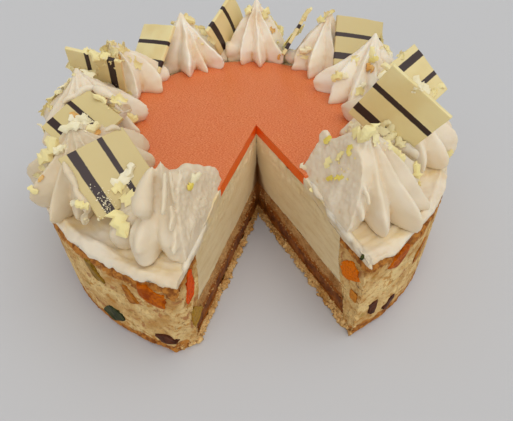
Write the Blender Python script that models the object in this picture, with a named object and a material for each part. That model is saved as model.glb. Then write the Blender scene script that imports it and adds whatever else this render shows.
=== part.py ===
"""Layered cream cake in a sponge wall set with candied fruit, one slice cut out.

Metres, +Z up. The origin is the centre of the cake's underside, and the missing
slice opens towards -Y. Every layer is swept about the slice's inner corner (the
apex), so its two ends lie exactly on the two cut faces.
"""
import math
import random
from collections import namedtuple

import bmesh
import bpy
from mathutils import Matrix, Vector

MM = 0.001
GAP = 0.3 * MM  # clearance between pieces that touch
TRIM_SIZE = 0.5  # edge of the block that cuts a piece off at a plane

# The missing slice
APEX = Vector((7.8 * MM, -8.0 * MM))
RIGHT_CUT = math.radians(-65.7)  # direction of each cut face from the apex
LEFT_CUT = math.radians(-110.5)
SWEEP_STEPS = 34
OVERRUN = math.radians(2.0)  # how far a cutting sweep goes on past the cut faces

# The body of the cake
CAKE_RADIUS = 130 * MM
WALL_HEIGHT = 63 * MM
FOOT_TOP = 9 * MM  # top of the bottom sponge
FILLING_TOP = 18 * MM  # top of the brown filling
SPONGE_TOP = 31 * MM  # top of the middle sponge
CREAM_TOP = 70 * MM  # top of the cream under the jelly
JELLY_TOP = 77 * MM
JELLY_RADIUS = 78 * MM
JELLY_CENTRE = Vector((-2 * MM, 8 * MM))
CAKE_CENTRE = Vector((0.0, 0.0))
RIM_WOBBLE = 0.5 * MM  # how uneven the rim of sponge and icing is

# The wall's corner at the left cut is worn away towards the foot
WORN_DEPTH = 8 * MM
WORN_BLOCK = 140 * MM  # block that takes the corner off, clear of the other cut
WORN_CORNER = Vector((-36 * MM, -125 * MM, WALL_HEIGHT))

# Inner radius of the sponge wall at some heights: it thins towards the foot
WALL_INSIDE = (
    (0.0, 120 * MM),
    (FOOT_TOP, 119 * MM),
    (FILLING_TOP, 117 * MM),
    (SPONGE_TOP, 112 * MM),
    (45 * MM, 107.5 * MM),
    (WALL_HEIGHT, 106 * MM),
)

# Piped rosettes: angles in degrees, lengths in millimetres
ROSETTE_FOOT = 60 * MM  # buried foot of a rosette, before its seat is cut
ROSETTE_BASE = 66 * MM  # height where the piped profile starts
LOBE_DEPTH = 0.24  # depth of a groove, as a share of the radius
Rosette = namedtuple("Rosette", "name angle ring radius peak_angle peak_ring peak lobes twist tiers")
ROSETTES = (
    Rosette("rosette_a", -116.0, 96, 30, -113.5, 97, 112, 9, -10, 2),
    Rosette("rosette_b", -149.0, 98, 35, -151.0, 102, 112, 9, 14, 2),
    Rosette("rosette_c", 178.0, 98, 35, 175.5, 100, 113, 8, 24, 1),
    Rosette("rosette_d", 146.5, 100, 31, 151.0, 98, 112, 8, 55, 1),
    Rosette("rosette_e", 113.5, 100, 31, 115.0, 101, 113, 8, 12, 1),
    Rosette("rosette_f", 81.5, 102, 28, 82.0, 102, 118, 8, -8, 1),
    Rosette("rosette_g", 50.0, 100, 30, 48.5, 100, 115, 8, -16, 1),
    Rosette("rosette_h", 18.5, 95, 35, 22.5, 97, 115, 8, -50, 1),
    Rosette("rosette_i", -14.5, 96, 36, -13.0, 97, 111, 8, 18, 1),
    Rosette("rosette_j", -49.0, 96, 32, -51.0, 94, 114, 9, 10, 1),
)
# Share of the height against share of the radius, for one tier and for two
SINGLE_TIER = (
    (0.0, 0.96), (0.12, 1.0), (0.27, 0.94), (0.42, 0.77),
    (0.58, 0.56), (0.75, 0.34), (0.90, 0.14),
)
DOUBLE_TIER = (
    (0.0, 0.95), (0.14, 1.0), (0.30, 0.93), (0.42, 0.74),
    (0.56, 0.65), (0.74, 0.40), (0.90, 0.16),
)
# Cream dragged by the knife on the two cut rosettes, along and across the cut
SMEAR_ALONG = 27 * MM
SMEAR_ACROSS = 19 * MM
SMEAR_REACH = 87 * MM  # distance of its middle from the apex
SMEAR_HEIGHT = 31 * MM
SMEAR_FOOT = 69 * MM  # height where the knife's sloping drag meets the cut face
# Cut rosette: its cut face, the side of it that is missing, the drag's slope
CUT_ROSETTES = {
    "rosette_a": (LEFT_CUT, 1, math.radians(76)),
    "rosette_j": (RIGHT_CUT, -1, math.radians(68)),
}

# White chocolate plates: angles in degrees, lengths in millimetres
PLATE_THICKNESS = 2.4 * MM
Plate = namedtuple("Plate", "name angle ring height side facing tilt spin bend")
PLATES = (
    Plate("plate_ab", -133.4, 99, 93.5, 35.7, -57, 48, -83, 0.0),
    Plate("plate_bc", -167.0, 97.5, 92.5, 35.5, -107, 62, -30, 0.0),
    Plate("plate_cd", 162.5, 100, 96, 36, -105, -18, -103, 0.0),
    Plate("plate_de", 131.0, 101.5, 94.5, 35.5, -143, 43, 15, 0.6),
    Plate("plate_ef", 94.2, 99.5, 96, 36.3, -37, -4, -60, 2.0),
    Plate("plate_fg", 65.5, 100, 95, 36, 161, 27, 30, 0.5),
    Plate("plate_gh", 34.6, 104, 99, 35.2, -78, 41, -15, 1.0),
    Plate("plate_hi", 1.0, 108, 97, 36.3, -66, 47, 20, 0.0),
    Plate("plate_ij", -32.3, 95, 106, 39, -125, -2, -31, 0.0),
)

# White chocolate shavings on each rosette
SHAVINGS_EACH = 4
SHAVING_THICKNESS = 1.1 * MM
SHAVING_LIFT = 1.4 * MM  # how far the crown of its curl stands off the cream
SHAVING_SEED = 26

# Candied fruit in the wall's outer face: angle, height, width, tall, roll
Fruit = namedtuple("Fruit", "name angle height width tall roll colour")
FRUIT_DEPTH = 8 * MM
FRUITS = (
    Fruit("fruit_green_strip", -129.5, 51, 7, 17, -18, "olive"),
    Fruit("fruit_brown_strip", -119.0, 46, 5, 13, -24, "amber"),
    Fruit("fruit_orange_block", -112.5, 52, 15, 13, 12, "orange"),
    Fruit("fruit_dark_green", -128.4, 14, 12, 15, 30, "green"),
    Fruit("fruit_raisin_left", -111.9, 14.5, 11, 8, -25, "raisin"),
    Fruit("fruit_orange_rim", -53.4, 54, 11, 15, 35, "orange"),
    Fruit("fruit_raisin_low", -59.1, 20, 6, 12, 8, "raisin"),
    Fruit("fruit_raisin_side", -52.3, 13, 7, 11, 42, "raisin"),
    Fruit("fruit_pale_strip", -41.5, 39, 7, 17, 38, "amber"),
)
# Candied fruit that the knife went through: cut face, distance from the apex
CutFruit = namedtuple("CutFruit", "name cut along height width tall roll colour")
CUT_FRUITS = (
    CutFruit("fruit_orange_cut", RIGHT_CUT, 107, 47, 15, 14, 20, "orange"),
    CutFruit("fruit_amber_cut", RIGHT_CUT, 113.5, 32.5, 6, 7, 0, "amber"),
    CutFruit("fruit_red_cut", LEFT_CUT, 111.5, 45.5, 8, 18, 15, "red"),
    CutFruit("fruit_olive_cut", LEFT_CUT, 110.5, 26, 8, 14, 10, "olive"),
)
# Round the far side the fruit goes on by a rule
FAR_FRUITS = 10
FAR_START = -20.0  # degrees
FAR_SPAN = 235.0
FAR_ROWS = (45, 17)  # heights of its two rows
FRUIT_SEED = 7

COLOURS = {
    "sponge": (222, 190, 138),
    "soaked": (196, 152, 96),
    "filling": (136, 84, 40),
    "cream": (247, 240, 222),
    "icing": (250, 246, 234),
    "jelly": (226, 108, 58),
    "chocolate": (238, 222, 162),
    "orange": (205, 92, 24),
    "red": (186, 44, 14),
    "amber": (176, 104, 36),
    "olive": (140, 132, 40),
    "green": (42, 74, 48),
    "raisin": (74, 44, 48),
}
ROUGHNESS = {"jelly": 0.25, "chocolate": 0.38, "icing": 0.45, "cream": 0.55}


def linear(channel):
    """One 8-bit display value as linear light."""
    value = channel / 255
    return value / 12.92 if value <= 0.04045 else ((value + 0.055) / 1.055) ** 2.4


def material(name):
    """The named Principled material, made once."""
    found = bpy.data.materials.get(name)
    if found:
        return found
    made = bpy.data.materials.new(name)
    made.use_nodes = True
    shader = made.node_tree.nodes["Principled BSDF"]
    colour = [linear(channel) for channel in COLOURS[name]]
    shader.inputs["Base Color"].default_value = (*colour, 1.0)
    shader.inputs["Roughness"].default_value = ROUGHNESS.get(name, 0.75)
    shader.inputs["Metallic"].default_value = 0.0
    made.diffuse_color = (*colour, 1.0)
    return made


def add_body(name, mesh, colour):
    """Put a mesh in the scene as a named object with its own material."""
    mesh.name = name
    mesh.materials.clear()
    own = material(colour).copy()
    own.name = name
    mesh.materials.append(own)
    body = bpy.data.objects.new(name, mesh)
    bpy.context.scene.collection.objects.link(body)
    return body


def finished_mesh(work):
    """Turn a bmesh into a mesh with every face pointing out."""
    bmesh.ops.recalc_face_normals(work, faces=work.faces[:])
    mesh = bpy.data.meshes.new("work")
    work.to_mesh(mesh)
    work.free()
    return mesh


def loft(rings, tip=None):
    """Closed skin through rings of equal count, with flat ends or one tip point."""
    work = bmesh.new()
    loops = [[work.verts.new(point) for point in ring] for ring in rings]
    count = len(loops[0])
    for lower, upper in zip(loops, loops[1:]):
        for i in range(count):
            j = (i + 1) % count
            work.faces.new((lower[i], lower[j], upper[j], upper[i]))
    work.faces.new(loops[0])
    if tip is None:
        work.faces.new(loops[-1])
    else:
        top = work.verts.new(tip)
        for i in range(count):
            work.faces.new((loops[-1][i], loops[-1][(i + 1) % count], top))
    return finished_mesh(work)


# ---- Layers -----------------------------------------------------------------

def reach(direction, centre, radius):
    """Distance from the apex to a circle, along a direction."""
    ray = Vector((math.cos(direction), math.sin(direction)))
    offset = APEX - centre
    along = offset.dot(ray)
    return -along + math.sqrt(along * along - offset.length_squared + radius * radius)


def wobble(direction):
    """Slow unevenness round the rim, between -1 and 1."""
    return 0.6 * math.sin(7 * direction + 0.8) + 0.4 * math.sin(13 * direction + 2.1)


def on_cake(radius, height, uneven=0.0):
    return (CAKE_CENTRE, radius, height, uneven)


def on_jelly(radius, height):
    return (JELLY_CENTRE, radius, height, 0.0)


def at_apex(height):
    return (None, 0.0, height, 0.0)


def swept_layer(section, overrun=0.0):
    """Sweep a section from the right cut face round to the left one."""
    work = bmesh.new()
    apex_verts = {}
    rings = []
    start = RIGHT_CUT - overrun
    span = LEFT_CUT + 2 * math.pi + overrun - start
    for step in range(SWEEP_STEPS + 1):
        direction = start + span * step / SWEEP_STEPS
        ring = []
        for centre, radius, height, uneven in section:
            if centre is None:
                if height not in apex_verts:
                    apex_verts[height] = work.verts.new((*APEX, height))
                ring.append(apex_verts[height])
                continue
            distance = reach(direction, centre, radius + uneven * wobble(direction))
            x = APEX.x + distance * math.cos(direction)
            y = APEX.y + distance * math.sin(direction)
            ring.append(work.verts.new((x, y, height)))
        rings.append(ring)
    count = len(section)
    for near, far in zip(rings, rings[1:]):
        for i in range(count):
            j = (i + 1) % count
            corners = list(dict.fromkeys((near[i], near[j], far[j], far[i])))
            if len(corners) > 2:
                work.faces.new(corners)
    work.faces.new(rings[0])
    work.faces.new(rings[-1])
    return finished_mesh(work)


def wall_inside(height):
    """Inner radius of the sponge wall at a height."""
    for (low, low_radius), (high, high_radius) in zip(WALL_INSIDE, WALL_INSIDE[1:]):
        if height <= high:
            share = (height - low) / (high - low)
            return low_radius + share * (high_radius - low_radius)
    return WALL_INSIDE[-1][1]


def inner_layer(bottom, top):
    """A flat layer that fills the wall between two heights."""
    low = bottom + GAP if bottom else 0.0
    return swept_layer((
        at_apex(low),
        on_cake(wall_inside(low) - GAP, low),
        on_cake(wall_inside(top) - GAP, top),
        at_apex(top),
    ))


def wall_section():
    outside = (
        on_cake(CAKE_RADIUS - 1.6 * MM, 0.0, RIM_WOBBLE),
        on_cake(CAKE_RADIUS, 4 * MM, RIM_WOBBLE),
        on_cake(CAKE_RADIUS, 57 * MM, RIM_WOBBLE),
        on_cake(CAKE_RADIUS - 1.4 * MM, WALL_HEIGHT, RIM_WOBBLE),
    )
    inside = tuple(on_cake(radius, height) for height, radius in reversed(WALL_INSIDE))
    return outside + inside


def cream_section():
    return (
        at_apex(SPONGE_TOP + GAP),
        on_cake(wall_inside(SPONGE_TOP) - GAP, SPONGE_TOP + GAP),
        on_cake(wall_inside(45 * MM) - GAP, 45 * MM),
        on_cake(wall_inside(WALL_HEIGHT) - GAP, WALL_HEIGHT),
        on_jelly(JELLY_RADIUS + GAP, CREAM_TOP),
        at_apex(CREAM_TOP),
    )


def jelly_section():
    return (
        at_apex(CREAM_TOP + GAP),
        on_jelly(JELLY_RADIUS - 1.5 * MM, CREAM_TOP + GAP),
        on_jelly(JELLY_RADIUS, CREAM_TOP + 2 * MM),
        on_jelly(JELLY_RADIUS, JELLY_TOP - 2 * MM),
        on_jelly(JELLY_RADIUS - 2 * MM, JELLY_TOP),
        at_apex(JELLY_TOP),
    )


# The icing's upper side, from the jelly's edge out to the rim
def icing_top(lift):
    return (
        on_jelly(JELLY_RADIUS + GAP, JELLY_TOP - 1 * MM + lift),
        on_jelly(JELLY_RADIUS + 4 * MM, JELLY_TOP - 1.5 * MM + lift),
        on_cake(94 * MM, 71 * MM + lift),
        on_cake(108 * MM, 68.5 * MM + lift),
        on_cake(121 * MM, 67.5 * MM + lift),
        on_cake(CAKE_RADIUS - 3 * MM, 66.4 * MM + lift, RIM_WOBBLE),
        on_cake(CAKE_RADIUS - 1 * MM, 64.8 * MM + lift, RIM_WOBBLE),
    )


def icing_section():
    underside = (
        on_cake(CAKE_RADIUS - 1.8 * MM, WALL_HEIGHT + GAP, RIM_WOBBLE),
        on_cake(wall_inside(WALL_HEIGHT), WALL_HEIGHT + GAP),
        on_jelly(JELLY_RADIUS + GAP, CREAM_TOP + GAP),
    )
    return icing_top(0.0) + underside


def seat_section():
    """Everything below the icing and jelly, with the clearance a rosette keeps."""
    return (
        at_apex(JELLY_TOP + GAP),
        on_jelly(JELLY_RADIUS + GAP, JELLY_TOP + GAP),
        *icing_top(GAP)[1:],
        on_cake(CAKE_RADIUS + 12 * MM, 62 * MM),
        on_cake(CAKE_RADIUS + 12 * MM, 40 * MM),
        at_apex(40 * MM),
    )


# ---- Cutting and joining ----------------------------------------------------

def apply_boolean(body, others, operation):
    """Cut or join bodies into one, then remove the others from the scene."""
    group = bpy.data.collections.new("operands")
    for other in others:
        group.objects.link(other)
    step = body.modifiers.new("step", "BOOLEAN")
    step.operation = operation
    step.operand_type = "COLLECTION"
    step.collection = group
    depsgraph = bpy.context.evaluated_depsgraph_get()
    mesh = bpy.data.meshes.new_from_object(body.evaluated_get(depsgraph))
    body.modifiers.clear()
    name = body.data.name
    body.data = mesh
    mesh.name = name
    for other in others:
        bpy.data.objects.remove(other)
    bpy.data.collections.remove(group)


def loose_body(mesh):
    """An unnamed helper that a Boolean will use up."""
    helper = bpy.data.objects.new("helper", mesh)
    bpy.context.scene.collection.objects.link(helper)
    return helper


def trim(body, point, outward, size=TRIM_SIZE):
    """Cut off what lies beyond a plane, within a block of this size."""
    work = bmesh.new()
    bmesh.ops.create_cube(work, size=size)
    turn = outward.to_track_quat("Z", "Y").to_matrix().to_4x4()
    middle = point + outward * size / 2
    bmesh.ops.transform(work, matrix=Matrix.Translation(middle) @ turn, verts=work.verts[:])
    apply_boolean(body, [loose_body(finished_mesh(work))], "DIFFERENCE")


def keep_largest(body):
    """Drop the scraps that a cut leaves beside the main piece."""
    work = bmesh.new()
    work.from_mesh(body.data)
    waiting = set(work.faces)
    pieces = []
    while waiting:
        piece = {waiting.pop()}
        frontier = list(piece)
        while frontier:
            face = frontier.pop()
            joined = [edge for edge in face.edges if len(edge.link_faces) == 2]
            for edge in joined:
                for other in edge.link_faces:
                    if other in waiting:
                        waiting.discard(other)
                        piece.add(other)
                        frontier.append(other)
        pieces.append(piece)
    pieces.sort(key=lambda piece: sum(face.calc_area() for face in piece))
    scraps = [face for piece in pieces[:-1] for face in piece]
    bmesh.ops.delete(work, geom=scraps, context="FACES")
    work.to_mesh(body.data)
    work.free()


# ---- White chocolate --------------------------------------------------------

def ring_point(angle, ring, height):
    """A point at an angle in degrees and a distance in millimetres."""
    direction = math.radians(angle)
    return Vector((ring * MM * math.cos(direction), ring * MM * math.sin(direction), height))


def plate_frame(plate):
    """Matrix of a plate: X across its stripes, Y along them, Z out of its face."""
    facing, tilt, spin = (math.radians(a) for a in (plate.facing, plate.tilt, plate.spin))
    outward = Vector((math.cos(facing), math.sin(facing), 0.0))
    normal = outward * math.cos(tilt) + Vector((0.0, 0.0, math.sin(tilt)))
    level = Vector((-math.sin(facing), math.cos(facing), 0.0))
    rise = normal.cross(level)
    along = math.cos(spin) * level + math.sin(spin) * rise
    across = along.cross(normal)
    centre = ring_point(plate.angle, plate.ring, plate.height * MM)
    frame = Matrix((across, along, normal)).transposed().to_4x4()
    return Matrix.Translation(centre) @ frame


def plate_mesh(plate, margin=0.0):
    """A thin square plate, slightly bent along its stripes."""
    half = plate.side * MM / 2 + margin
    depth = PLATE_THICKNESS + margin
    frame = plate_frame(plate)
    rings = []
    steps = 3 if plate.bend else 1
    for step in range(steps + 1):
        along = -half + 2 * half * step / steps
        lift = -plate.bend * MM * (2 * step / steps - 1) ** 2
        corners = ((-half, margin), (half, margin), (half, -depth), (-half, -depth))
        rings.append([frame @ Vector((x, along, z + lift)) for x, z in corners])
    return loft(rings)


def shaving_mesh(place, heading, length, width, curl):
    """A curled chip of chocolate: a thin strip bent on an arc."""
    rings = []
    steps = 2
    radius = length / curl
    turn = Matrix.Translation(place) @ heading.to_4x4()
    for step in range(steps + 1):
        angle = curl * (step / steps - 0.5)
        taper = width * (0.55 + 0.45 * math.cos(math.pi * (step / steps - 0.5)))
        ring = []
        for side, depth in ((-0.5, 0), (0.5, 0), (0.5, 1), (-0.5, 1)):
            arm = radius - depth * SHAVING_THICKNESS
            height = arm * math.cos(angle) - radius + SHAVING_LIFT
            ring.append(turn @ Vector((arm * math.sin(angle), side * taper, height)))
        rings.append(ring)
    return loft(rings)


# ---- Rosettes ---------------------------------------------------------------

def rosette_axis(rosette, share):
    """The middle of a rosette at a share of its height: it leans to its peak."""
    base = ring_point(rosette.angle, rosette.ring, ROSETTE_BASE)
    peak = ring_point(rosette.peak_angle, rosette.peak_ring, rosette.peak * MM)
    middle = base.lerp(peak, share ** 1.4)
    middle.z = base.z + share * (peak.z - base.z)
    return middle


def rosette_radius(rosette, share):
    profile = DOUBLE_TIER if rosette.tiers == 2 else SINGLE_TIER
    for (low, low_radius), (high, high_radius) in zip(profile, profile[1:]):
        if share <= high:
            blend = (share - low) / (high - low)
            return rosette.radius * MM * (low_radius + blend * (high_radius - low_radius))
    return rosette.radius * MM * profile[-1][1]


def star_ring(rosette, share, middle):
    """A star with one crest, two shoulders and one groove to each lobe."""
    outline = (1.0, 0.91, 1.0 - LOBE_DEPTH, 0.91)
    radius = rosette_radius(rosette, share)
    count = rosette.lobes * len(outline)
    start = math.radians(rosette.angle + rosette.twist * share)
    ring = []
    for i in range(count):
        angle = start + 2 * math.pi * i / count
        arm = radius * outline[i % len(outline)]
        ring.append(middle + Vector((arm * math.cos(angle), arm * math.sin(angle), 0.0)))
    return ring


def rosette_mesh(rosette):
    profile = DOUBLE_TIER if rosette.tiers == 2 else SINGLE_TIER
    foot = rosette_axis(rosette, 0.0)
    foot.z = ROSETTE_FOOT
    rings = [star_ring(rosette, 0.0, foot)]
    for share, _ in profile[1:]:
        rings.append(star_ring(rosette, share, rosette_axis(rosette, share)))
    return loft(rings, tip=rosette_axis(rosette, 1.0))


def smear_mesh(direction):
    """The cream that the knife pulled along a cut face."""
    work = bmesh.new()
    bmesh.ops.create_icosphere(work, subdivisions=2, radius=1.0)
    along = Vector((math.cos(direction), math.sin(direction), 0.0))
    place = Vector((*APEX, ROSETTE_BASE)) + along * SMEAR_REACH
    scale = Matrix.Diagonal((SMEAR_ALONG, SMEAR_ACROSS, SMEAR_HEIGHT, 1.0))
    turn = Matrix.Rotation(direction, 4, "Z")
    bmesh.ops.transform(work, matrix=Matrix.Translation(place) @ turn @ scale, verts=work.verts[:])
    return finished_mesh(work)


def shavings_of(rosette, draw):
    """Curled chips that lie on the upper half of a rosette."""
    chips = []
    for index in range(SHAVINGS_EACH):
        share = draw.uniform(0.5, 0.9)
        turn = 2 * math.pi * (index + draw.uniform(0.2, 0.8)) / SHAVINGS_EACH
        arm = rosette_radius(rosette, share) * 0.86
        outward = Vector((math.cos(turn), math.sin(turn), 0.0))
        place = rosette_axis(rosette, share) + outward * arm
        slope = (outward + Vector((0.0, 0.0, 0.75))).normalized()
        heading = slope.to_track_quat("Z", "Y").to_matrix()
        heading = heading @ Matrix.Rotation(draw.uniform(0, math.pi), 3, "Z")
        length = draw.uniform(9, 14) * MM
        width = draw.uniform(3.5, 6) * MM
        curl = draw.uniform(0.9, 2.2)
        chip = shaving_mesh(place, heading, length, width, curl)
        chips.append(loose_body(chip))
    return chips


def sector_planes(index):
    """The two upright planes halfway to the neighbouring rosettes."""
    rosette = ROSETTES[index]
    planes = []
    for other_index in (index - 1, index + 1):
        if not 0 <= other_index < len(ROSETTES):
            continue
        here = ring_point(rosette.angle, rosette.ring, 0.0)
        there = ring_point(ROSETTES[other_index].angle, ROSETTES[other_index].ring, 0.0)
        share = rosette.radius / (rosette.radius + ROSETTES[other_index].radius)
        outward = (there - here).normalized()
        planes.append((here.lerp(there, share) - outward * GAP / 2, outward))
    return planes


def cut_plane(direction, side):
    """A cut face's plane, facing into the missing slice."""
    outward = Vector((-math.sin(direction), math.cos(direction), 0.0)) * side
    return Vector((*APEX, 0.0)), outward


def slanted_plane(direction, side, slope):
    """The knife's sloping drag, from the edge of a cut face up to the peak."""
    point, outward = cut_plane(direction, side)
    point.z = SMEAR_FOOT
    return point, outward * math.sin(slope) + Vector((0.0, 0.0, math.cos(slope)))


def make_rosette(index, plates):
    rosette = ROSETTES[index]
    body = add_body(rosette.name, rosette_mesh(rosette), "icing")
    draw = random.Random(SHAVING_SEED + index)
    if rosette.name in CUT_ROSETTES:
        direction, side, slope = CUT_ROSETTES[rosette.name]
        apply_boolean(body, [loose_body(smear_mesh(direction))], "UNION")
        trim(body, *slanted_plane(direction, side, slope))
        trim(body, *cut_plane(direction, side))
    apply_boolean(body, shavings_of(rosette, draw), "UNION")
    for plane in sector_planes(index):
        trim(body, *plane)
    seat = loose_body(swept_layer(seat_section(), OVERRUN))
    apply_boolean(body, [seat], "DIFFERENCE")
    apply_boolean(body, [loose_body(plate_mesh(plate, GAP)) for plate in plates], "DIFFERENCE")
    keep_largest(body)
    return body


# ---- Candied fruit ----------------------------------------------------------

def fruit_mesh(frame, width, depth, tall, margin, draw):
    """A block with its long corners trimmed, a little out of true."""
    work = bmesh.new()
    bmesh.ops.create_cube(work, size=1.0)
    upright = [edge for edge in work.edges if abs(edge.verts[0].co.y - edge.verts[1].co.y) > 0.5]
    bmesh.ops.bevel(work, geom=upright, offset=0.27, segments=1, affect="EDGES")
    skew = draw.uniform(-0.25, 0.25)
    scale = Matrix.Diagonal((width + 2 * margin, depth + 2 * margin, tall + 2 * margin, 1.0))
    shear = Matrix.Shear("XY", 4, (skew, 0.0))
    bmesh.ops.transform(work, matrix=frame @ shear @ scale, verts=work.verts[:])
    return finished_mesh(work)


def outer_fruit_frame(fruit):
    """Upright frame on the wall's outer face: X along the face, Y into it."""
    angle = math.radians(fruit.angle)
    place = ring_point(fruit.angle, (CAKE_RADIUS - 3 * MM) / MM, fruit.height * MM)
    turn = Matrix.Rotation(angle + math.pi / 2, 4, "Z")
    return Matrix.Translation(place) @ turn @ Matrix.Rotation(math.radians(fruit.roll), 4, "Y")


def cut_fruit_frame(fruit):
    """Upright frame on a cut face."""
    along = Vector((math.cos(fruit.cut), math.sin(fruit.cut), 0.0))
    place = Vector((*APEX, fruit.height * MM)) + along * fruit.along * MM
    turn = Matrix.Rotation(fruit.cut, 4, "Z")
    return Matrix.Translation(place) @ turn @ Matrix.Rotation(math.radians(fruit.roll), 4, "Y")


def far_fruits():
    """Fruit round the far side, in two uneven rows."""
    draw = random.Random(FRUIT_SEED)
    colours = ("orange", "raisin", "olive", "red", "amber", "green")
    fruits = []
    for index in range(FAR_FRUITS):
        name = "fruit_far_%02d" % (index + 1)
        angle = FAR_START + FAR_SPAN * (index + draw.uniform(0.2, 0.8)) / FAR_FRUITS
        height = FAR_ROWS[index % 2] + draw.uniform(-6, 6)
        width = draw.uniform(6, 14)
        tall = draw.uniform(8, 16)
        roll = draw.uniform(-40, 40)
        colour = colours[index % len(colours)]
        fruits.append(Fruit(name, angle, height, width, tall, roll, colour))
    return fruits


def worn_plane():
    """Plane through the corner's top that leans inwards towards the foot."""
    _, into_slice = cut_plane(LEFT_CUT, 1)
    outward = Vector((WORN_CORNER.x, WORN_CORNER.y, 0.0)).normalized()
    level = (into_slice + outward).normalized()
    lean = WORN_DEPTH / WALL_HEIGHT
    return WORN_CORNER, (level - Vector((0.0, 0.0, lean))).normalized()


def make_wall_and_fruit():
    """The sponge wall with its fruit, each in a pocket that it just fits."""
    wall = add_body("sponge_wall", swept_layer(wall_section()), "sponge")
    places = [(fruit, outer_fruit_frame(fruit)) for fruit in (*FRUITS, *far_fruits())]
    places += [(fruit, cut_fruit_frame(fruit)) for fruit in CUT_FRUITS]
    pockets = []
    for index, (fruit, frame) in enumerate(places):
        size = (fruit.width * MM, FRUIT_DEPTH, fruit.tall * MM)
        body = add_body(fruit.name, fruit_mesh(frame, *size, 0.0, random.Random(index)), fruit.colour)
        apply_boolean(body, [loose_body(swept_layer(wall_section()))], "INTERSECT")
        pockets.append(loose_body(fruit_mesh(frame, *size, GAP, random.Random(index))))
    apply_boolean(wall, pockets, "DIFFERENCE")
    trim(wall, *worn_plane(), WORN_BLOCK)


def build():
    for existing in list(bpy.data.objects):
        bpy.data.objects.remove(existing)
    make_wall_and_fruit()
    add_body("sponge_base", inner_layer(0.0, FOOT_TOP), "sponge")
    add_body("brown_filling", inner_layer(FOOT_TOP, FILLING_TOP), "filling")
    add_body("sponge_middle", inner_layer(FILLING_TOP, SPONGE_TOP), "soaked")
    add_body("cream_filling", swept_layer(cream_section()), "cream")
    add_body("jelly_top", swept_layer(jelly_section()), "jelly")
    add_body("icing_border", swept_layer(icing_section()), "icing")
    for plate in PLATES:
        add_body(plate.name, plate_mesh(plate), "chocolate")
    # plate i stands between rosette i and rosette i + 1
    for index in range(len(ROSETTES)):
        make_rosette(index, PLATES[max(index - 1, 0):index + 1])


build()
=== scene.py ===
"""Looks of the layered cream cake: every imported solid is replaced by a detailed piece.

Lengths are in millimetres until a mesh is made, which turns them into metres.
The cake stands on the origin and its missing slice opens towards -Y.
"""
import math
from collections import namedtuple

import bmesh
import bpy
import numpy as np
from mathutils import Matrix, Vector
from mathutils.bvhtree import BVHTree


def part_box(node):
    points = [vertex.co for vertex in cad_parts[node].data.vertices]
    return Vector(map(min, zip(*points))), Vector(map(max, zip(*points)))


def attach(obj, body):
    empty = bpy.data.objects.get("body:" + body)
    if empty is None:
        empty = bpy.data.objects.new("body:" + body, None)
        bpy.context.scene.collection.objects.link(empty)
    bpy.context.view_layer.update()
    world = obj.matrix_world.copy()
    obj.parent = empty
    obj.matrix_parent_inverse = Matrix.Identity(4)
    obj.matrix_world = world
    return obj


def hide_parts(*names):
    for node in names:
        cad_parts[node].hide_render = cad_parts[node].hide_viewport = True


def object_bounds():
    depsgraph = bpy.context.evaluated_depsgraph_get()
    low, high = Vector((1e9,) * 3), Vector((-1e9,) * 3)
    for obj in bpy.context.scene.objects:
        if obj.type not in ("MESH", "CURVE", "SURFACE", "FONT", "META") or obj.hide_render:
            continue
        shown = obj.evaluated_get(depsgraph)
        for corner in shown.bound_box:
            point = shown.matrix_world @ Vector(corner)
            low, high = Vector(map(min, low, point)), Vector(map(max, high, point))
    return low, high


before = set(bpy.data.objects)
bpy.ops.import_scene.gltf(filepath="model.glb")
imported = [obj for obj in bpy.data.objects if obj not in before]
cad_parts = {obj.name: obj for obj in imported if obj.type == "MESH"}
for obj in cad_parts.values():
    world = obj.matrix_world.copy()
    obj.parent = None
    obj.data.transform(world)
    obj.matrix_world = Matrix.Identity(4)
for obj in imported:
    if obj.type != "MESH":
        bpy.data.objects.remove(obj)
CAD_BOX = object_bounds()
MM = 0.001
# The CAD's box in millimetres, a hair smaller; every piece is kept inside it
INSIDE = [np.array(corner) / MM + margin for corner, margin in zip(CAD_BOX, (0.02, -0.02))]
INSIDE[0][2] = 0.0

# ---- The cake's own measures, as in its solids ----

APEX = np.array((7.8, -8.0))  # inner corner of the missing slice
APEX_FOOT = np.array((*APEX, 0.0))
LEVEL = np.array((1, 1, 0))  # times a point: its place in plan
RIGHT_CUT = math.radians(-65.7)
LEFT_CUT = math.radians(-110.5)
SPAN = LEFT_CUT + 2 * math.pi - RIGHT_CUT
CAKE_CENTRE = np.array((0.0, 0.0))
JELLY_CENTRE = np.array((-2.0, 8.0))
CAKE_RADIUS = 130.0
JELLY_RADIUS = 78.0
WALL_HEIGHT = 63.0
FOOT_TOP, FILLING_TOP, SPONGE_TOP, CREAM_TOP, JELLY_TOP = 9.0, 18.0, 31.0, 70.0, 77.0
WALL_INSIDE_HEIGHTS = (0.0, 9.0, 18.0, 31.0, 45.0, 63.0)
WALL_INSIDE_RADII = (120.0, 119.0, 117.0, 112.0, 107.5, 106.0)
RIM_WOBBLE = 0.5

# ---- Camera, as fitted to the photograph ----

EYE = Vector((-0.00104, -0.25435, 0.23285))
PITCH, YAW, ROLL = math.radians(43.10), math.radians(-1.78), math.radians(-1.54)
LENS, SENSOR = 31.58, 36.0
PHOTO_WIDTH, PHOTO_HEIGHT = 513, 421


def camera_turn():
    """The camera's axes: pitched down, yawed about the upright, rolled about the line of sight."""
    forward = Vector((0, math.cos(PITCH), -math.sin(PITCH)))
    right = Vector((1, 0, 0))
    up = right.cross(forward)
    yaw = Matrix.Rotation(YAW, 3, "Z")
    forward, right, up = yaw @ forward, yaw @ right, yaw @ up
    level = math.cos(ROLL) * right + math.sin(ROLL) * up
    upright = math.cos(ROLL) * up - math.sin(ROLL) * right
    return Matrix((level, upright, -forward)).transposed()


VIEW_TURN = camera_turn()


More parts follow.
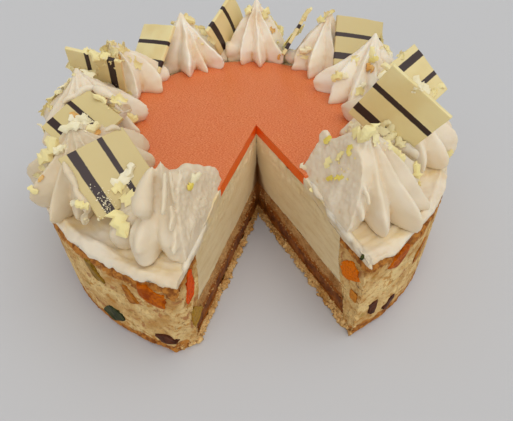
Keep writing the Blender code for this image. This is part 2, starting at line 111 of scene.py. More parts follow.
def picture_ray(x, y):
    """Direction from the eye through a point of the picture."""
    scale = SENSOR / PHOTO_WIDTH / LENS
    local = Vector(((x - PHOTO_WIDTH / 2) * scale, (PHOTO_HEIGHT / 2 - y) * scale, -1.0))
    return (VIEW_TURN @ local).normalized()


def on_plane(x, y, place, outward):
    """Where the line of sight through a picture point meets a plane."""
    ray = np.array(picture_ray(x, y))
    eye = np.array(EYE) / MM
    return eye + ray * (((place - eye) @ outward) / (ray @ outward))


# ---- Repeatable noise ----

def scatter(lattice, seed):
    """A repeatable value from 0 to 1 for each whole-number lattice point."""
    x, y, z = lattice[..., 0], lattice[..., 1], lattice[..., 2]
    mixed = (x * 374761393 + y * 668265263 + z * 1442695041 + seed * 97471123) & 0xFFFFFFFF
    mixed = ((mixed ^ (mixed >> 13)) * 1274126177) & 0xFFFFFFFF
    return ((mixed ^ (mixed >> 16)) & 0xFFFFFF) / 0xFFFFFF


def noise(points, size, seed=0):
    """Smooth noise from -1 to 1 with features of about this size."""
    scaled = np.asarray(points, float) / size
    base = np.floor(scaled)
    share = scaled - base
    share = share * share * (3 - 2 * share)
    base = base.astype(np.int64)
    total = 0.0
    for corner in np.ndindex(2, 2, 2):
        weight = np.prod(np.where(corner, share, 1 - share), axis=-1)
        total = total + weight * scatter(base + np.array(corner), seed)
    return 2 * total - 1


def fractal(points, size, octaves=4, seed=0, gain=0.5):
    """Noise with finer and weaker noise on it, still from -1 to 1."""
    total, weight, norm = 0.0, 1.0, 0.0
    for octave in range(octaves):
        total = total + weight * noise(points, size / 2 ** octave, seed + 31 * octave)
        norm += weight
        weight *= gain
    return total / norm


def cells(points, size, seed=0):
    """Distance to the nearest scattered point, 0 at the point and about 1 between."""
    scaled = np.asarray(points, float) / size
    base = np.floor(scaled).astype(np.int64)
    nearest = np.full(scaled.shape[:-1], 9.0)
    for offset in np.ndindex(3, 3, 3):
        corner = base + np.array(offset) - 1
        spots = np.stack([scatter(corner, seed + k) for k in range(3)], axis=-1)
        distance = np.linalg.norm(corner + spots - scaled, axis=-1)
        nearest = np.minimum(nearest, distance)
    return nearest


def smooth(low, high, value):
    """An eased step from 0 at low to 1 at high; low may be the larger."""
    share = np.clip((value - low) / (high - low), 0, 1)
    return share * share * (3 - 2 * share)


# ---- Meshes ----

WORM_STEP = 0.8  # between the rings of a roll of cream


def add_object(name, data):
    """Put a mesh, camera or lamp in the scene."""
    obj = bpy.data.objects.new(name, data)
    bpy.context.scene.collection.objects.link(obj)
    return obj


def mesh_of(name, points, patches):
    """A mesh in metres, from points in millimetres and patches of faces."""
    mesh = bpy.data.meshes.new(name)
    faces = [face for patch in patches for face in patch.tolist()]
    mesh.from_pydata((points * MM).tolist(), [], faces)
    return mesh


def marks_of(first, second=0.0, third=0.0):
    """The three values kept at each point, which the materials read."""
    return np.stack(np.broadcast_arrays(first, second, third), axis=-1)


def no_marks(points):
    return np.zeros_like(points)


class Body:
    """Collects patches and makes one piece of them."""

    def __init__(self):
        self.points, self.faces, self.marks, self.count = [], [], [], 0

    def add(self, points, faces, mark=None):
        points = np.asarray(points, float).reshape(-1, 3)
        self.points.append(points)
        self.faces.append(np.asarray(faces) + self.count)
        self.marks.append(np.zeros((len(points), 3)) if mark is None else np.reshape(mark, (-1, 3)))
        self.count += len(points)

    def grid(self, points, mark=None, ring=False, flip=False):
        """A patch of rows by columns; ring closes each row on itself."""
        rows, cols = points.shape[:2]
        index = np.arange(rows * cols).reshape(rows, cols)
        if ring:
            index = np.concatenate((index, index[:, :1]), axis=1)
        quads = np.stack((index[:-1, :-1], index[:-1, 1:], index[1:, 1:], index[1:, :-1]), axis=-1)
        quads = quads.reshape(-1, 4)
        self.add(points, quads[:, ::-1] if flip else quads, mark)

    def cap(self, row, tip, flip):
        """Close a ring of points with a fan round a tip."""
        count = len(row)
        fan = np.array([(i, (i + 1) % count, count) for i in range(count)])
        self.add(np.concatenate((row, tip[None])), fan[:, ::-1] if flip else fan)

    def join(self, other):
        """Take in the patches of another body."""
        self.points += other.points
        self.faces += [faces + self.count for faces in other.faces]
        self.marks += other.marks
        self.count += other.count

    def piece(self, name, look, slot, nodes=(), weld=0.0, flat=False):
        """The patches as an object that rides on the cake and stands for these nodes."""
        mesh = mesh_of(name, np.clip(np.concatenate(self.points), *INSIDE), self.faces)
        marks = np.concatenate(self.marks)
        marks = np.concatenate((marks, np.ones((len(marks), 1))), axis=1)
        attribute = mesh.attributes.new("marks", "FLOAT_COLOR", "POINT")
        attribute.data.foreach_set("color", marks.astype(np.float32).ravel())
        mesh.update()
        mesh.materials.append(look)
        obj = add_object(name, mesh)
        if weld:
            obj.modifiers.new("weld", "WELD").merge_threshold = weld * MM
            apply_modifiers(obj)
        if flat:
            obj.data.shade_flat()
        else:
            obj.data.shade_smooth()
        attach(obj, "root")
        if nodes:
            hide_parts(*nodes)
        return obj


def apply_modifiers(obj):
    """Keep what the modifiers make of an object's mesh, under the mesh's own name."""
    depsgraph = bpy.context.evaluated_depsgraph_get()
    mesh = bpy.data.meshes.new_from_object(obj.evaluated_get(depsgraph))
    obj.modifiers.clear()
    old = obj.data
    name = old.name
    obj.data = mesh
    bpy.data.meshes.remove(old)
    mesh.name = name


def ball(detail):
    """Points and faces of an even unit ball."""
    work = bmesh.new()
    bmesh.ops.create_icosphere(work, subdivisions=detail, radius=1.0)
    points = np.array([vertex.co[:] for vertex in work.verts])
    faces = np.array([[vertex.index for vertex in face.verts] for face in work.faces])
    work.free()
    return points, faces


def unit(vectors):
    """Vectors of length one."""
    return vectors / (np.linalg.norm(vectors, axis=-1, keepdims=True) + 1e-9)


def closed(rings, start, end):
    """A body of rings of points in a row, with a fan round a tip at each end."""
    body = Body()
    body.grid(rings, ring=True)
    body.cap(rings[0], start, True)
    body.cap(rings[-1], end, False)
    return body


def worm(path, radius, seed, rounding=0, wander=0.4):
    """A closed uneven roll of cream along a path, of one radius or one for each point."""
    path = np.asarray(path, float)
    radii = np.broadcast_to(np.asarray(radius, float), (len(path),))
    steps = np.concatenate(([0], np.cumsum(np.linalg.norm(np.diff(path, axis=0), axis=1))))
    count = max(6, int(steps[-1] / WORM_STEP))
    along = np.linspace(0, steps[-1], count)
    middle = np.stack([np.interp(along, steps, part) for part in path.T], axis=-1)
    thick = np.interp(along, steps, radii)
    for _ in range(rounding):
        middle[1:-1] = (middle[:-2] + 2 * middle[1:-1] + middle[2:]) / 4
    middle += wander * thick[:, None] * np.stack([noise(middle, 5.0, seed + k) for k in range(3)], axis=-1)
    heading = unit(np.gradient(middle, axis=0))
    side = unit(np.cross(heading, (0.0, 0.0, 1.0)))
    rise = np.cross(side, heading)
    taper = np.sqrt(np.maximum(1 - np.linspace(-1, 1, count) ** 6, 0.02))
    thick = thick * taper * (1 + 0.3 * noise(middle, 3.0 + 0.6 * thick.max(), seed + 7))
    sides = 12 + 4 * int(thick.max() > 3)
    turn = np.linspace(0, 2 * math.pi, sides, endpoint=False)[None, :, None]
    circle = np.cos(turn) * side[:, None] + np.sin(turn) * rise[:, None]
    return closed(middle[:, None] + thick[:, None, None] * circle, middle[0], middle[-1])


def merged(bodies, voxel, softened=0):
    """One closed skin round overlapping bodies, as points and faces."""
    body = Body()
    for other in bodies:
        body.join(other)
    obj = add_object("merged", mesh_of("merged", np.concatenate(body.points), body.faces))
    obj.modifiers.new("weld", "WELD").merge_threshold = 0.001 * MM
    step = obj.modifiers.new("remesh", "REMESH")
    step.mode = "VOXEL"
    step.voxel_size = voxel * MM
    if softened:
        step = obj.modifiers.new("soften", "SMOOTH")
        step.factor, step.iterations = 0.5, softened
    apply_modifiers(obj)
    points = np.array([vertex.co[:] for vertex in obj.data.vertices]) / MM
    faces = np.array([face.vertices[:] for face in obj.data.polygons])
    bpy.data.objects.remove(obj)
    return points, faces


# ---- Materials ----

SUBSURFACE_SCALE = 3.0 * MM


def linear(colour):
    """An 8-bit display colour as linear light."""
    values = np.asarray(colour, float) / 255
    return np.where(values <= 0.04045, values / 12.92, ((values + 0.055) / 1.055) ** 2.4)


class Look:
    """A Principled material with its nodes; textures use the cake's own coordinates."""

    def __init__(self, name, rough, subsurface=0.0, radius=(1.0, 0.6, 0.4), ior=1.45):
        self.material = bpy.data.materials.new(name)
        self.material.use_nodes = True
        self.nodes, self.links = self.material.node_tree.nodes, self.material.node_tree.links
        self.shader = self.nodes["Principled BSDF"]
        for socket, value in (
            ("Roughness", rough), ("IOR", ior), ("Subsurface Weight", subsurface),
            ("Subsurface Radius", radius), ("Subsurface Scale", SUBSURFACE_SCALE),
        ):
            self.shader.inputs[socket].default_value = value
        self.place = self.nodes.new("ShaderNodeTexCoord").outputs["Object"]
        self.colour = None

    def link(self, value, socket):
        """Feed a socket from another one, or with a colour or a number."""
        if isinstance(value, bpy.types.NodeSocket):
            self.links.new(value, socket)
        elif isinstance(value, tuple):
            socket.default_value = (*linear(value), 1.0)
        else:
            socket.default_value = value

    def texture(self, kind, place, **values):
        """A node that reads places on the cake, with plain values for its inputs."""
        node = self.nodes.new("ShaderNode" + kind)
        self.links.new(place or self.place, node.inputs["Vector"])
        for name, value in values.items():
            node.inputs[name].default_value = value
        return node

    def stretched(self, scale, turn=(0, 0, 0)):
        return self.texture("Mapping", None, Scale=scale, Rotation=turn).outputs["Vector"]

    def noise(self, size, detail=4, rough=0.55, place=None, distort=0.0):
        """Noise with features of about this many millimetres."""
        values = dict(Scale=1000 / size, Detail=detail, Roughness=rough, Distortion=distort)
        return self.texture("TexNoise", place, **values).outputs["Fac"]

    def spots(self, size):
        """Distance to scattered points this many millimetres apart, and a random value of each."""
        node = self.texture("TexVoronoi", None, Scale=1000 / size)
        return node.outputs["Distance"], self.channel(node, 0)

    def channel(self, node, number):
        parts = self.nodes.new("ShaderNodeSeparateColor")
        self.links.new(node.outputs["Color"], parts.inputs[0])
        return parts.outputs[number]

    def mark(self, number):
        """One of the three values kept at each point of the mesh."""
        node = self.nodes.new("ShaderNodeAttribute")
        node.attribute_name = "marks"
        return self.channel(node, number)

    def step(self, value, low, high, out_low=0.0, out_high=1.0):
        node = self.nodes.new("ShaderNodeMapRange")
        node.interpolation_type = "SMOOTHSTEP"
        for socket, part in zip(node.inputs, (value, low, high, out_low, out_high)):
            self.link(part, socket)
        return node.outputs["Result"]

    def maths(self, kind, first, second=0.0):
        node = self.nodes.new("ShaderNodeMath")
        node.operation = kind
        self.link(first, node.inputs[0])
        self.link(second, node.inputs[1])
        return node.outputs[0]

    def times(self, first, second):
        return self.maths("MULTIPLY", first, second)

    def frayed(self, value, texture, amount):
        """A value that a texture moves up and down by up to half this amount."""
        return self.maths("ADD", value, self.times(self.maths("SUBTRACT", texture, 0.5), amount))

    def mix(self, share, first, second):
        node = self.nodes.new("ShaderNodeMix")
        node.data_type = "RGBA"
        for index, part in ((0, share), (6, first), (7, second)):
            self.link(part, node.inputs[index])
        return node.outputs[2]

    def mottled(self, first, second, size, detail, rough, low=0.35, high=0.7, distort=0.0):
        """Two colours in soft patches."""
        tone = self.noise(size, detail, rough, distort=distort)
        return self.mix(self.step(tone, low, high), first, second)

    def tint(self, share, colour):
        """Lay a colour over the material's own by this share."""
        self.colour = self.mix(share, self.colour, colour)

    def tint_step(self, value, low, high, colour, most=1.0):
        """Lay a colour over the material's own where a value goes from low to high."""
        self.tint(self.step(value, low, high, 0.0, most), colour)

    def bump(self, *heights):
        """Each height is (value, strength, distance in mm)."""
        normal = self.shader.inputs["Normal"]
        for value, strength, distance in reversed(heights):
            node = self.nodes.new("ShaderNodeBump")
            node.inputs["Strength"].default_value = strength
            node.inputs["Distance"].default_value = distance * MM
            self.links.new(value, node.inputs["Height"])
            self.links.new(node.outputs["Normal"], normal)
            normal = node.inputs["Normal"]

    def finished(self):
        """The material in its colour."""
        self.link(self.colour, self.shader.inputs["Base Color"])
        return self.material


# ---- Places on the cake ----

def reach(direction, centre, radius):
    """Distance from the apex to a circle, along a direction."""
    offset = APEX - centre
    along = offset[0] * np.cos(direction) + offset[1] * np.sin(direction)
    return -along + np.sqrt(along * along - offset @ offset + np.square(radius))


def wobble(direction):
    """Slow unevenness of the rim, between -1 and 1."""
    return 0.6 * np.sin(7 * direction + 0.8) + 0.4 * np.sin(13 * direction + 2.1)


def from_apex(direction, distance, height):
    """Points from directions, distances from the apex and heights."""
    direction, distance, height = np.broadcast_arrays(direction, distance, height)
    x = APEX[0] + distance * np.cos(direction)
    y = APEX[1] + distance * np.sin(direction)
    return np.stack((x, y, height), axis=-1)


def ring_point(angle, ring, height):
    """A point at an angle in degrees and a distance from the cake's centre."""
    turn = math.radians(angle)
    return np.array((ring * math.cos(turn), ring * math.sin(turn), height))


def wall_inside(height):
    """Radius of the wall's inner face."""
    return np.interp(height, WALL_INSIDE_HEIGHTS, WALL_INSIDE_RADII)


def outer_radius(height, turn):
    """Radius of the wall's outer face: rounded at its foot and rim, a little uneven round the cake."""
    rounding = 1.6 * smooth(4, 0, height) + 1.4 * smooth(57, WALL_HEIGHT, height)
    return CAKE_RADIUS - rounding + RIM_WOBBLE * wobble(turn)


def cut_axes(cut):
    """Directions along a cut face and out of it, into the missing slice."""
    side = 1 if cut == LEFT_CUT else -1
    along = np.array((math.cos(cut), math.sin(cut), 0.0))
    outward = np.array((-math.sin(cut), math.cos(cut), 0.0)) * side
    return along, outward


def beside_cut(cut, path):
    """Points from distances from the apex, depths behind a cut face and heights."""
    along, outward = cut_axes(cut)
    return [APEX_FOOT + out * along - depth * outward + (0, 0, height) for out, depth, height in path]


def cut_depth(points, cut):
    """How far behind a cut face points lie, large where they aren't behind it."""
    along, outward = cut_axes(cut)
    offset = points - APEX_FOOT
    depth = -(offset @ outward)
    return np.where((offset @ along > -2) & (depth > -12), depth, 99.0)


def push_cuts(points, height, fade=2.0):
    """Move points near each cut face out of it by a height that fades inwards."""
    moved = points.copy()
    for cut in (RIGHT_CUT, LEFT_CUT):
        weight = np.exp(-np.square(cut_depth(points, cut) / fade))
        moved += cut_axes(cut)[1] * (height * weight)[..., None]
    return moved


def clamp(points, place, outward, rough):
    """Press points that lie beyond a plane onto it, with a rough finish."""
    beyond = (points - place) @ outward + rough
    return points - np.maximum(beyond, 0)[..., None] * outward


def soft_clamp(points, place, outward, rough, width):
    """Press points beyond a plane onto it, with a rounded edge."""
    beyond = (points - place) @ outward + rough
    press = width * np.logaddexp(0, beyond / width)
    return points - press[..., None] * outward


def spread(steps):
    """Even shares from 0 to 1 with a few more close to each end."""
    ends = np.array((0.0008, 0.002, 0.004, 0.008))
    return np.unique(np.concatenate((np.linspace(0, 1, steps), ends, 1 - ends)))


def block(place, relief, marks, caps, outer, top, bottom, inner=None):
    """A swept solid: place(u, v, direction) gives its points, u outwards and v upwards.

    caps, outer, top, bottom and inner are the steps in each direction on those faces."""
    body = Body()

    def patch(u, v, t, flip):
        points = place(*np.broadcast_arrays(u, v, RIGHT_CUT + SPAN * t))
        body.grid(relief(points), marks(points), flip=flip)

    def rows(count):
        return np.linspace(0, 1, count)[:, None]

    patch(rows(caps[0]), rows(caps[1]).T, 0.0, True)
    patch(rows(caps[0]), rows(caps[1]).T, 1.0, False)
    patch(1.0, rows(outer[0]), spread(outer[1]), False)
    patch(rows(top[0]), 1.0, spread(top[1]), True)
    patch(rows(bottom[0]), 0.0, spread(bottom[1]), False)
    if inner:
        patch(0.0, rows(inner[0]), spread(inner[1]), True)
    return body


# ---- Colours, 8-bit display values ----

SPONGE_PALE, SPONGE_DARK = (238, 208, 146), (195, 146, 80)
# The first colour is painted shade in the sponge's holes, and the juice stain round each fruit in the wall.
SPONGE_PORE_SHADE_AND_JUICE, CRUST_LIGHT, CRUST_DARK = (150, 92, 36), (198, 130, 54), (136, 76, 26)
WALL_GOLD, WALL_TAN = (190, 128, 50), (180, 120, 72)
WALL_BIT_BROWN, WALL_BIT_OLIVE = (156, 78, 26), (164, 132, 58)
SOAKED_PALE, SOAKED_DARK = (206, 160, 102), (160, 108, 54)
FILLING_PALE, FILLING_DARK = (154, 88, 28), (100, 50, 12)
BASE_PALE, BASE_DARK = (236, 196, 132), (190, 136, 68)
# The third colour is painted light for the cut's inner corner; the next is moist brown that is also painted
# shade there.
CREAM_PALE, CREAM_DARK, CREAM_CORNER_PAINTED_LIGHT = (232, 212, 168), (220, 194, 144), (250, 230, 186)
CREAM_MOISTURE_AND_SHADE = (122, 70, 16)
ICING_PALE, ICING_WARM = (236, 222, 198), (226, 204, 170)
# The second colour is the jelly's clear colour on the cuts, painted brighter as painted light.
JELLY_TOP_COLOUR, JELLY_CUT_CLEAR_PAINTED_LIGHT = (220, 112, 55), (244, 100, 14)
JELLY_WARM, JELLY_PALE, JELLY_DARK = (222, 118, 60), (240, 152, 106), (202, 92, 38)
# The third colour is the painted-shade tone of the rosettes painted darker.
STAR_PALE, STAR_WARM, STAR_SHADED_TONE = (250, 240, 222), (242, 224, 194), (224, 206, 174)
# All three are painted shade: between the rosettes' lobes, in their pockets at the foot, and on the icing
# beside them.
STAR_GROOVE_SHADE, STAR_POCKET_SHADE, ICING_PAINTED_SHADE = (232, 198, 146), (222, 172, 92), (228, 200, 136)
# The third colour is the painted-shade tone of the plates painted darker.
PLATE_PALE, PLATE_WARM, PLATE_SHADED_TONE = (246, 230, 172), (238, 216, 152), (212, 192, 134)
STRIPE = (54, 35, 32)
FLAKE_WHITE, FLAKE_CREAM = (250, 240, 206), (248, 230, 160)
FLAKE_YELLOW, FLAKE_OCHRE = (232, 208, 88), (226, 164, 80)
FLOOR_GREY = (203, 203, 204)
# Dark and light of each kind of fruit
FRUIT_TONES = {
    "orange": ((150, 62, 0), (206, 108, 8)), "red": ((160, 34, 0), (206, 76, 2)),
    "amber": ((136, 74, 12), (190, 122, 44)), "olive": ((122, 90, 16), (160, 122, 44)),
    "green": ((30, 40, 20), (72, 76, 38)), "raisin": ((58, 28, 16), (98, 54, 34)),
}
# Middle and half width of the stripes on a plate, as shares of half its side
STRIPES = ((0.62, 0.135), (-0.24, 0.085))


def sponge_look(name, pale, dark, pore_shade, size=1.0, pitted=0.8):
    """Crumb with holes of two sizes in a mottled colour, and painted shade in the holes."""
    look = Look(name, 0.8, 0.08, (1.0, 0.55, 0.3), ior=1.3)
    grain = look.noise(1.6 * size, 4, 0.7)
    holes, small = look.spots(3.0 * size)[0], look.spots(1.3 * size)[0]
    look.colour = look.mottled(pale, dark, 14 * size, 5, 0.65, high=0.68)
    look.tint_step(grain, 0.48, 0.72, dark, 0.55)
    # painted shade in the small and the large holes
    look.tint_step(small, 0.26, 0.08, pore_shade, 0.35)
    look.tint_step(holes, 0.24, 0.10, pore_shade, pitted)
    look.bump(
        (look.step(holes, 0.08, 0.30), 0.6, 0.8 * size),
        (look.step(small, 0.05, 0.30), 0.5, 0.4 * size),
        (grain, 0.7, 0.5 * size),
    )
    return look


def wall_look():
    """Baked sponge with gold and tan stains, brown bits, and crust where the marks say, which at the foot
    is also painted shade.
    """
    look = sponge_look("wall_sponge", SPONGE_PALE, SPONGE_DARK, SPONGE_PORE_SHADE_AND_JUICE, 1.2, 0.45)
    stain = look.noise(10, 4, 0.6, look.stretched((1.0, 1.0, 1.5)), distort=0.7)
    look.tint_step(stain, 0.56, 0.64, WALL_GOLD, 0.8)
    look.tint_step(stain, 0.43, 0.35, WALL_TAN, 0.85)
    distance, draw = look.spots(13)
    bit = look.mix(look.step(draw, 0.35, 0.45), WALL_BIT_BROWN, WALL_BIT_OLIVE)
    look.tint_step(distance, 0.22, 0.10, bit, 0.6)
    crust_and_foot_shade = look.mottled(CRUST_LIGHT, CRUST_DARK, 4, 4, 0.6, 0.4, 0.65)
    # crust, which at the foot is also painted shade
    look.tint_step(look.frayed(look.mark(0), look.noise(9, 5, 0.7, distort=0.6), 1.7), 0.42, 0.62, crust_and_foot_shade)
    look.tint_step(look.mark(1), 0.1, 0.9, SPONGE_PORE_SHADE_AND_JUICE, 0.85)
    return look.finished()


def crumb_look(*details):
    """Sponge soaked with filling where the marks say; near the inner corner of the middle layer this is
    also painted shade.
    """
    look = sponge_look(*details)
    look.tint_step(look.frayed(look.mark(0), look.noise(6, 4), 0.9), 0.3, 0.75, FILLING_PALE)
    return look.finished()


def filling_look():
    look = Look("brown_filling", 0.5, 0.1, (1.0, 0.4, 0.2), ior=1.25)
    look.colour = look.mottled(FILLING_DARK, FILLING_PALE, 7, 5, 0.65, high=0.68)
    look.bump((look.noise(3, 4), 0.6, 0.7), (look.noise(0.9, 3), 0.5, 0.3))
    return look.finished()


def cream_look():
    """Set cream, dragged level, with painted light in its inner corner, and its moist brown, which near
    that corner is also painted shade.
    """
    look = Look("set_cream", 0.6, 0.25, (1.0, 0.8, 0.5))
    drag = look.noise(6, 5, 0.6, look.stretched((0.35, 0.35, 1.6)))
    look.colour = look.mix(look.step(drag, 0.38, 0.72), CREAM_PALE, CREAM_DARK)
    # painted light in the inner corner, where the cut faces light each other
    look.tint(look.times(look.mark(0), 0.8), CREAM_CORNER_PAINTED_LIGHT)
    # moist brown, which near the inner corner is also painted shade
    look.tint(look.mark(1), CREAM_MOISTURE_AND_SHADE)
    look.bump((drag, 0.15, 0.6), (look.noise(1.5, 4, 0.65), 0.5, 0.4), (look.noise(0.6, 3), 0.3, 0.2))
    return look.finished()


def icing_look():
    """Icing that is warmer beside the rosettes, as painted shade."""
    look = Look("whipped_icing", 0.42, 0.3, (1.0, 0.8, 0.55))
    look.colour = look.mottled(ICING_PALE, ICING_WARM, 18, 3, 0.5)
    # painted shade beside the rosettes' feet
    look.tint(look.times(look.mark(0), look.step(look.noise(6, 3), 0.3, 0.7, 0.15, 0.7)), ICING_PAINTED_SHADE)
    look.bump((look.noise(5, 3, 0.5), 0.3, 0.5), (look.noise(0.8, 3, 0.6), 0.15, 0.2))
    return look.finished()


def star_look():
    """Piped cream: warmer between its lobes and amber where they meet the foot, both painted shade, and
    painted darker on some rosettes by the first mark.
    """
    look = Look("whipped_cream_star", 0.4, 0.35, (1.0, 0.8, 0.55))
    # painted light and shade: each rosette's cream goes towards the shaded tone as its first mark falls
    look.colour = look.mix(look.mark(0), STAR_SHADED_TONE, look.mottled(STAR_PALE, STAR_WARM, 16, 3, 0.5))
    # painted shade between the lobes, and in the pockets near the foot
    crease_shade = look.times(look.mark(1), look.step(look.noise(8, 3), 0.3, 0.7, 0.35, 1.0))
    look.tint(look.times(crease_shade, 0.45), STAR_GROOVE_SHADE)
    look.tint(look.times(crease_shade, look.mark(2)), STAR_POCKET_SHADE)
    look.bump((look.noise(2.6, 4, 0.6), 0.25, 0.4), (look.noise(0.7, 3, 0.6), 0.15, 0.15))
    return look.finished()


def plate_look():
    """White chocolate with two dark stripes across the first mark, and painted shade on some plates by the
    third.
    """
    look = Look("white_chocolate_plate", 0.38, 0.15, (1.0, 0.8, 0.4))
    # painted light and shade: each plate goes towards the shaded tone as its third mark falls
    look.colour = look.mix(look.mark(2), PLATE_SHADED_TONE, look.mottled(PLATE_PALE, PLATE_WARM, 20, 3, 0.5))
    across = look.frayed(look.mark(0), look.noise(1.6, 2), 0.02)
    for centre, width in STRIPES:
        offset = look.maths("ABSOLUTE", look.maths("SUBTRACT", across, centre))
        look.tint_step(offset, width + 0.012, width - 0.012, STRIPE)
    look.bump((look.noise(7, 3), 0.15, 0.3), (look.noise(1.0, 3), 0.1, 0.1))
    return look.finished()


def flake_look():
    """White, cream, yellow or ochre chocolate by the first mark."""
    look = Look("white_chocolate_flake", 0.45, 0.15, (1.0, 0.8, 0.5))
    look.colour = look.mix(look.step(look.mark(0), 0.0, 0.5), FLAKE_WHITE, FLAKE_CREAM)
    look.tint_step(look.mark(0), 0.55, 0.85, FLAKE_YELLOW)
    look.tint_step(look.mark(0), 0.9, 1.0, FLAKE_OCHRE)
    look.tint_step(look.noise(4, 3), 0.4, 0.7, PLATE_PALE, 0.3)
    look.bump((look.noise(1.6, 3), 0.3, 0.2), (look.noise(0.6, 3), 0.2, 0.1))
    return look.finished()


def fruit_look(name, dark, light):
    """Candied fruit, with a moist shine painted as a highlight where the marks say that it is cut."""
    look = Look("candied_" + name, 0.38, 0.06, (1.0, 0.4, 0.2), ior=1.12)
    grain = look.noise(1.2, 3, 0.6)
    look.colour = look.mottled(dark, light, 5, 5, 0.65, 0.34, 0.66, distort=0.8)
    # painted highlight: a lighter colour for the shine of a cut
    wet_highlight = tuple(min(255, 1.2 * value) for value in light)
    look.tint(look.times(look.mark(0), look.step(grain, 0.3, 0.6, 0.2, 0.9)), wet_highlight)
    look.tint_step(grain, 0.5, 0.75, dark, 0.5)
    look.bump((look.noise(2.5, 4, 0.6), 0.5, 0.5), (grain, 0.4, 0.3))
    return look.finished()


def jelly_look():
    """Grainy orange on top, and clear orange on the cuts, where the marks say; that clear orange is also
    painted light.
    """
    look = Look("orange_jelly", 0.32, 0.2, (1.0, 0.35, 0.12), ior=1.38)
    grain = look.noise(1.1, 4, 0.7, look.stretched((1.0, 2.4, 1.0), (0, 0, math.radians(8))))
    look.colour = look.mottled(JELLY_TOP_COLOUR, JELLY_WARM, 22, 4, 0.6)
    look.tint_step(grain, 0.46, 0.64, JELLY_PALE, 0.9)
    look.tint(look.step(grain, 0.36, 0.5, 0.6, 0.0), JELLY_DARK)
    # the cuts' clear colour, painted brighter as painted light
    look.tint(look.mark(0), JELLY_CUT_CLEAR_PAINTED_LIGHT)
    look.link(look.step(grain, 0.3, 0.8, 0.26, 0.45), look.shader.inputs["Roughness"])
    look.bump((grain, 0.25, 0.25), (look.noise(6, 3), 0.15, 0.5))
    return look.finished()


def make_looks():
    looks = {
        "wall": wall_look(),
        "base": crumb_look("base_sponge", BASE_PALE, BASE_DARK, SPONGE_PORE_SHADE_AND_JUICE),
        "soaked": crumb_look("soaked_sponge", SOAKED_PALE, SOAKED_DARK, FILLING_PALE, 0.9),
        "filling": filling_look(),
        "cream": cream_look(),
        "icing": icing_look(),
        "star": star_look(),
        "plate": plate_look(),
        "flake": flake_look(),
        "jelly": jelly_look(),
    }
    for name, tones in FRUIT_TONES.items():
        looks["fruit_" + name] = fruit_look(name, *tones)
    return looks


# ---- Layers ----

def torn(points, depth, size):
    """The relief of a cut through crumb: pores, tears and a coarse unevenness."""
    big = smooth(0.45, 0.12, cells(points, 3.4 * size, 5))
    small = smooth(0.42, 0.10, cells(points, 1.7 * size, 9))
    lumps = fractal(points, 5.0 * size, 4, 12, 0.6)
    return depth * (1.1 * lumps - 0.9 * big - 0.5 * small)


def crumb_relief(depth, size):
    """Relief function of a cut through crumb."""
    def relief(points):
        return push_cuts(points, torn(points, depth, size))
    return relief


def cream_relief(points):
    """Cream dragged level along the cut, with a rougher band under the jelly."""
    drag = fractal(points * (0.35, 0.35, 1.2), 5.0, 4, 40, 0.6)
    rough = fractal(points, 3.0, 4, 44, 0.65)
    pits = smooth(0.30, 0.08, cells(points, 3.0, 47))
    band = smooth(54, 64, points[..., 2]) + 0.4 * smooth(38, 32, points[..., 2])
    return push_cuts(points, 0.30 * drag + (0.15 + 0.75 * band) * rough - 0.5 * band * pits)


def jelly_relief(points):
    """Smooth cuts and a top with a slow swell."""
    moved = push_cuts(points, 0.25 * noise(points, 9.0, 3) + 0.08 * noise(points, 2.5, 4))
    moved[..., 2] += 0.22 * noise(points * LEVEL, 24.0, 6) * smooth(72, JELLY_TOP, points[..., 2])
    return moved


def filling_relief(points):
    return push_cuts(points, 0.6 * fractal(points, 4.0, 4, 22, 0.6) - 0.5)


def uneven(direction, distance, amount, seed):
    """A boundary's rise and fall at a place."""
    return amount * fractal(from_apex(direction, distance, 0.0), 14.0, 3, seed)


def flat_layer(low, high, rise_low, rise_high):
    """Place function of a layer between two heights that fills the wall."""
    def place(u, v, direction):
        height = low + (high - low) * v
        distance = u * reach(direction, CAKE_CENTRE, wall_inside(height))
        bottom = low + uneven(direction, distance, rise_low, int(low) + 1)
        top = high + uneven(direction, distance, rise_high, int(high) + 1)
        return from_apex(direction, distance, bottom + (top - bottom) * v)
    return place


def soaked_marks(points):
    """Syrup from the filling, drawn up into the sponge, and near the inner corner also painted shade."""
    # syrup and painted shade near the inner corner of the cut
    moisture_and_shade = np.exp(-np.linalg.norm(points[..., :2] - APEX, axis=-1) / 12)
    return marks_of(np.maximum(0.9 * smooth(26.0, 18.5, points[..., 2]), moisture_and_shade))


def base_marks(points):
    """The base is wet just under the filling."""
    return marks_of(0.8 * smooth(6.0, FOOT_TOP, points[..., 2]))


def cream_place(u, v, direction):
    """Place function of the cream, level under the jelly and sloping down to the wall's rim."""
    jelly = reach(direction, JELLY_CENTRE, JELLY_RADIUS)
    rim = reach(direction, CAKE_CENTRE, wall_inside(WALL_HEIGHT))
    split = 0.75
    inside = np.minimum(u / split, 1.0)
    outside = np.maximum(u - split, 0.0) / (1 - split)
    top_distance = inside * jelly + outside * (rim - jelly)
    top = CREAM_TOP + outside * (WALL_HEIGHT - CREAM_TOP)
    low_distance = u * reach(direction, CAKE_CENTRE, wall_inside(SPONGE_TOP))
    low = SPONGE_TOP + uneven(direction, low_distance, 0.6, int(SPONGE_TOP) + 1)
    distance = low_distance + (top_distance - low_distance) * v
    height = low + (top - low) * v
    edge = reach(direction, CAKE_CENTRE, wall_inside(height)) - distance
    return from_apex(direction, distance + edge * u ** 8, height)


def jelly_place(u, v, direction):
    """Place function of the jelly, with a drooping edge."""
    edge = reach(direction, JELLY_CENTRE, JELLY_RADIUS + 0.4)
    distance = u * edge
    droop = 0.9 * smooth(3.0, 0.0, edge - distance)
    height = CREAM_TOP + (JELLY_TOP - droop - CREAM_TOP) * v
    return from_apex(direction, distance, height)


